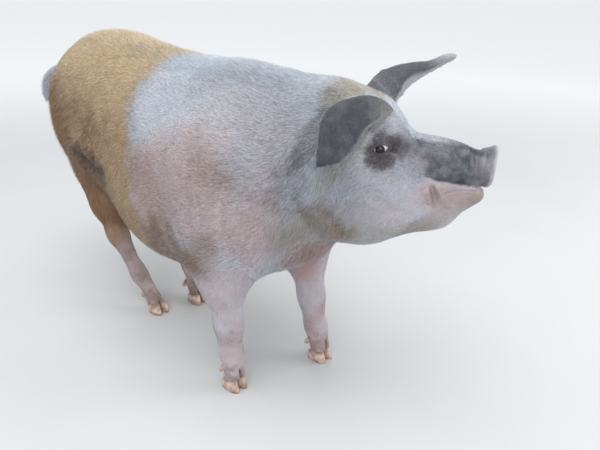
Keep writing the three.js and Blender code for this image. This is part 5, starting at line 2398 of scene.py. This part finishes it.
        def take(name: str, mask: Array, u: Array, v: Array) -> None:
            """Adds a piece, or several along u if it would be too large.

            Args:
                name: The piece's name.
                mask: Which roots it takes, if no piece has them yet.
                u: Where they lie on the chart, from one end to the other.
                v: Where they lie across it, from 0 to 1.
            """
            rows = np.flatnonzero(mask & ~taken)
            taken[rows] = True
            order = rows[np.argsort(u[rows], kind="stable")]
            used = np.cumsum(faces[order])
            parts = math.ceil(used[-1] / self.piece_limit)
            cuts = np.searchsorted(used, used[-1] * np.arange(1, parts) / parts)
            for k, part in enumerate(np.split(order, cuts)):
                low, high = u[part].min(), u[part].max()
                spot = np.stack([(u[part] - low) / (high - low + 1e-9), v[part]], axis=-1)
                title = f"{name}_{k + 1}" if parts > 1 else name
                made.append((title, part, 0.01 + 0.98 * np.clip(spot, 0, 1)))

        quarter = np.where(at.ear < 0, 0.0, 2.0) + (at.ear_face > 0)
        take("coat_ears", at.ear != 0, at.ear_along, (quarter + 0.04 + 0.46 * (at.ear_across + 1)) / 4)
        x, y, z = at.body.T
        take("coat_tail", at.tail > 0.03, at.tail,
             np.arctan2(at.normal[:, 1], at.normal[:, 2]) / 6.2832 + 0.5)
        for name, first in (("coat_forelegs", 0), ("coat_hindlegs", 2)):
            mask = ((at.leg == first) | (at.leg == first + 1)) & (at.leg_along > 0.02)
            round_leg = np.arctan2(at.normal[:, 1], at.normal[:, 0]) / 6.2832 + 0.5
            take(name, mask, at.leg_along, (round_leg * 0.96 + 0.02 + (at.leg == first)) / 2)
        f, s, u = at.head.T
        take("coat_head", f > -70, f, np.arctan2(s, u + 30) / 6.2832 + 0.5)
        around = np.arctan2(y - 30 * step(200, 420, x), z - 480) / 6.2832 + 0.5
        take("coat_body", np.ones(len(x), bool), x, around)
        return made

    def coloured(self, at: Places, how: Style, luck: Array) -> Roots:
        """Gives each bristle its marks, read a little beside its root, and its own shade.

        Args:
            at: The places of the roots.
            how: The style at each root.
            luck: A random number from 0 to 1 for each root.

        Returns:
            The roots with their colours.
        """
        aside = np.random.default_rng(self.seed + 1).normal(0, 1, (len(luck), 3))
        aside *= (2.2 + 0.12 * how.length)[:, None]
        beside = at.picked(np.arange(len(luck)))
        beside.world = at.world + aside * MM
        beside.head = at.head + aside @ self.stance.head().axes.T
        beside.body = at.body + aside
        marks = self.mingled(Markings(beside).laid())
        along = dot(at.world, how.lay)[:, None] * how.lay
        strands = Clouds(41).at((at.world - 0.86 * along) / MM, 5.5, 2)
        rump = step(60, -80, at.body[:, 0])
        jowl = step(90, -60, at.head[:, 0]) * step(60, -20, at.head[:, 2]) * (at.body[:, 0] > 360)
        shade = (0.24 + 0.36 * rump + 0.30 * jowl) * strands + (0.45 + 0.15 * rump) * (luck - 0.5) * 2
        return Roots(at, how, marks, shade)

    def mingled(self, marks: Array) -> Array:
        """Gives each bristle more of one colour or another, where marks are half strong."""
        draw = np.random.default_rng(self.seed + 2).random((len(marks), 1))
        pulled = step(-0.12, 0.12, marks - draw)
        return marks + 0.40 * (pulled - marks) * (marks > 0.02) * (marks < 0.98)

    def shapes(self, roots: Roots) -> dict[BristleForm, tuple[Array, Array]]:
        """Shapes the bristles of a piece.

        Args:
            roots: Their roots.

        Returns:
            For each form the rows of its roots, and the points of its bristles, shape (n, points, 3).
        """
        at, how = roots.at, roots.how
        count = len(roots.shade)
        chance = np.random.default_rng(self.seed + count)
        lay = swung(how.lay, at.normal, chance.normal(0, 1, count) * (0.10 + 0.35 * how.curl))
        length = (how.length * MM * chance.uniform(0.62, 1.18, count))[:, None]
        width = (how.width * MM * chance.uniform(0.75, 1.25, count))[:, None]
        tilt = (how.tilt * chance.uniform(0.55, 1.5, count))[:, None]
        bent = chance.random(count) < how.bent
        turned = swung(lay, at.normal, chance.normal(0, 1, count) * (0.25 + 0.9 * how.curl))
        across = np.cross(at.normal, lay)
        slim = 0.72 * width
        root = at.world - at.normal * self.depth
        foot = [root + across * width / 2, root - across * width / 2,
                root + at.normal * (self.depth + self.thickness * width) - lay * 0.2 * width]
        rise = np.where(bent[:, None], 1.5, 1.0) * tilt
        reach = (lay * np.cos(rise) + at.normal * np.sin(rise)) * length
        half = root + 0.5 * reach
        waist = [half + across * slim / 2, half - across * slim / 2, half + at.normal * self.thickness * slim]
        end = half + (turned * np.cos(0.35 * tilt) + at.normal * np.sin(0.35 * tilt)) * 0.5 * length
        return {
            STRAIGHT: (np.flatnonzero(~bent), np.stack([*foot, root + reach], axis=1)[~bent]),
            BENT: (np.flatnonzero(bent), np.stack([*foot, *waist, end], axis=1)[bent]),
        }

    def add_piece(self, name: str, finish: bpy.types.Material, roots: Roots, spot: Array) -> None:
        """Makes one piece of the coat.

        Args:
            name: The piece's name.
            finish: The bristles' material.
            roots: The roots of its bristles.
            spot: Where each root lies on the piece's chart.
        """
        points, corners, owners, rises, flat = [], [], [], [], []
        start = 0
        for form, (rows, shaped) in self.shapes(roots).items():
            size = len(form.rise)
            points.append(shaped.reshape(-1, 3))
            firsts = start + size * np.arange(len(rows))
            corners.append((firsts[:, None, None] + np.array(form.corners)).reshape(-1, 3))
            owners.append(np.repeat(rows, size))
            rises.append(np.tile(form.rise, len(rows)))
            flat.append((spot[rows][:, None] + self.patch / 2 * np.array(form.spots)).reshape(-1, 2))
            start += size * len(rows)
        piece = add_mesh(name, np.vstack(points), np.vstack(corners), smooth=False)
        owner = np.concatenate(owners)
        add_numbers(piece, "marks_a", roots.marks[owner, :4])
        add_numbers(piece, "marks_b", roots.marks[owner, 4:])
        add_numbers(piece, "shade", roots.shade[owner])
        add_numbers(piece, "tip", np.concatenate(rises))
        add_map(piece, np.vstack(flat))
        place_piece(piece, finish, ["trunk"])

    def build(self, surface: Surface, places: Places) -> None:
        """Makes all pieces of the coat on the skin, of whose points the places are given."""
        finish = CoatFinish().material()
        roots = self.coloured(*self.roots(surface, places, self.style(places)))
        for name, rows, spot in self.charts(roots.at, 4 + 6 * roots.how.bent):
            self.add_piece(name, finish, roots.picked(rows), spot)


# ---- Studio ----------------------------------------------------------------------------------------


@dataclass(frozen=True)
class Studio:
    """A pale floor, a soft surround, large lamps and the camera."""

    stance: Stance
    camera_at: tuple[float, float, float] = (1157.0, -806.0, 864.0)
    yaw: float = 134.9
    pitch: float = -22.6
    roll: float = 1.7
    lens: float = 36.3
    surround: float = 0.92
    lamp_scale: float = 1.3

    def add_camera(self) -> None:
        """Places the camera."""
        data = bpy.data.cameras.new("camera")
        data.lens = self.lens
        data.sensor_width = 36.0
        yaw, pitch, roll = (math.radians(a) for a in (self.yaw, self.pitch, self.roll))
        ahead = Vector((math.cos(yaw) * math.cos(pitch), math.sin(yaw) * math.cos(pitch), math.sin(pitch)))
        right = Vector((math.sin(yaw), -math.cos(yaw), 0.0))
        up = right.cross(ahead)
        across = right * math.cos(roll) + up * math.sin(roll)
        over = up * math.cos(roll) - right * math.sin(roll)
        made = bpy.data.objects.new("camera", data)
        bpy.context.scene.collection.objects.link(made)
        turn = Matrix((across, over, -ahead)).transposed().to_4x4()
        turn.translation = Vector(self.stance.body().out(np.array(self.camera_at)))
        made.matrix_world = turn
        bpy.context.scene.camera = made

    def add_lamp(self, name: str, place: tuple[float, float, float], size: float, power: float,
                 colour: tuple[float, float, float]) -> None:
        """Adds a square lamp that faces the middle of the animal.

        Args:
            name: The lamp's name.
            place: Where it hangs, in metres.
            size: The length of its side, in metres.
            power: Its power in watts, before the scale.
            colour: The colour of its light.
        """
        data = bpy.data.lights.new(name, "AREA")
        data.size, data.energy, data.color = size, power * self.lamp_scale, colour
        made = bpy.data.objects.new(name, data)
        bpy.context.scene.collection.objects.link(made)
        made.location = place
        made.rotation_euler = (Vector((0.1, 0.0, 0.4)) - Vector(place)).to_track_quat("-Z", "Y").to_euler()

    def add_world(self) -> None:
        """An even surround that shows as a pale wall."""
        world = bpy.data.worlds.new("surround")
        g = Graph(world)
        light = g.nodes["Background"]
        g.feed(light.inputs["Color"], (0.97, 0.985, 1.0, 1.0))
        g.feed(light.inputs["Strength"], self.surround)
        wall = g.node("ShaderNodeBackground", {}, {"Color": (0.80, 0.82, 0.84, 1.0)})
        rays = g.node("ShaderNodeLightPath", {}, {}).outputs
        share = g.maths("MAXIMUM", Value(g, rays["Is Camera Ray"]), Value(g, rays["Is Glossy Ray"]))
        share = g.maths("MAXIMUM", share, Value(g, rays["Is Transmission Ray"]))
        mix = g.node("ShaderNodeMixShader", {},
                     {0: share, 1: Value(g, light.outputs[0]), 2: Value(g, wall.outputs[0])})
        g.feed(g.nodes["World Output"].inputs["Surface"], Value(g, mix.outputs[0]))
        bpy.context.scene.world = world

    def add_floor(self) -> None:
        """A wide pale floor, painted lighter far away where the lamps don't reach."""
        half = 60.0
        points = np.array([(-half, -half, 0), (half, -half, 0), (half, half, 0), (-half, half, 0)])
        made = add_mesh("floor", points, np.array([(0, 1, 2), (0, 2, 3)]))
        g = Graph(bpy.data.materials.new("pale floor"))
        away = g.node("ShaderNodeVectorMath", {"operation": "LENGTH"}, {0: g.place()})
        far = Value(g, away.outputs["Value"])
        near = g.mix(g.noise(3.0, 3.0), srgb(184, 186, 188), srgb(190, 192, 194))
        # painted light: the floor gets lighter far away, where the lamps don't reach
        tone = g.mix(far.stepped(1.6, 5.0), near, srgb(248, 249, 250))
        made.data.materials.append(g.finish(Base_Color=tone, Roughness=0.85))
        made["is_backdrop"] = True

    def build(self) -> None:
        """Sets up the whole studio."""
        self.add_floor()
        self.add_world()
        self.add_lamp("lamp_over", (0.2, -0.7, 3.0), 2.6, 50.0, (1.0, 0.99, 0.97))
        self.add_lamp("lamp_front", (2.2, -2.2, 1.3), 2.2, 30.0, (1.0, 0.98, 0.95))
        self.add_lamp("lamp_left", (2.0, 2.2, 1.0), 1.6, 30.0, (1.0, 0.99, 0.97))
        self.add_lamp("lamp_rear", (-2.4, 1.9, 2.2), 2.0, 14.0, (0.95, 0.98, 1.0))
        bpy.context.scene.view_settings.view_transform = "Standard"
        self.add_camera()


def main() -> None:
    """Builds the animal and its studio."""
    logging.basicConfig(level=logging.INFO, format="%(relativeCreated)d ms %(message)s")
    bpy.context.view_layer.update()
    stance = Stance()
    Studio(stance).build()
    LOG.info("studio is ready")
    flesh = FleshField().build()
    LOG.info("flesh field is ready")
    skin = Skin(stance)
    made = skin.field(flesh)
    LOG.info("skin field is ready")
    surface, places = Hide(stance).build(skin, made)
    Coat(stance).build(surface, places)
    Hooves(stance).build()
    Eyeballs(stance).build()


if __name__ == "__main__":
    main()
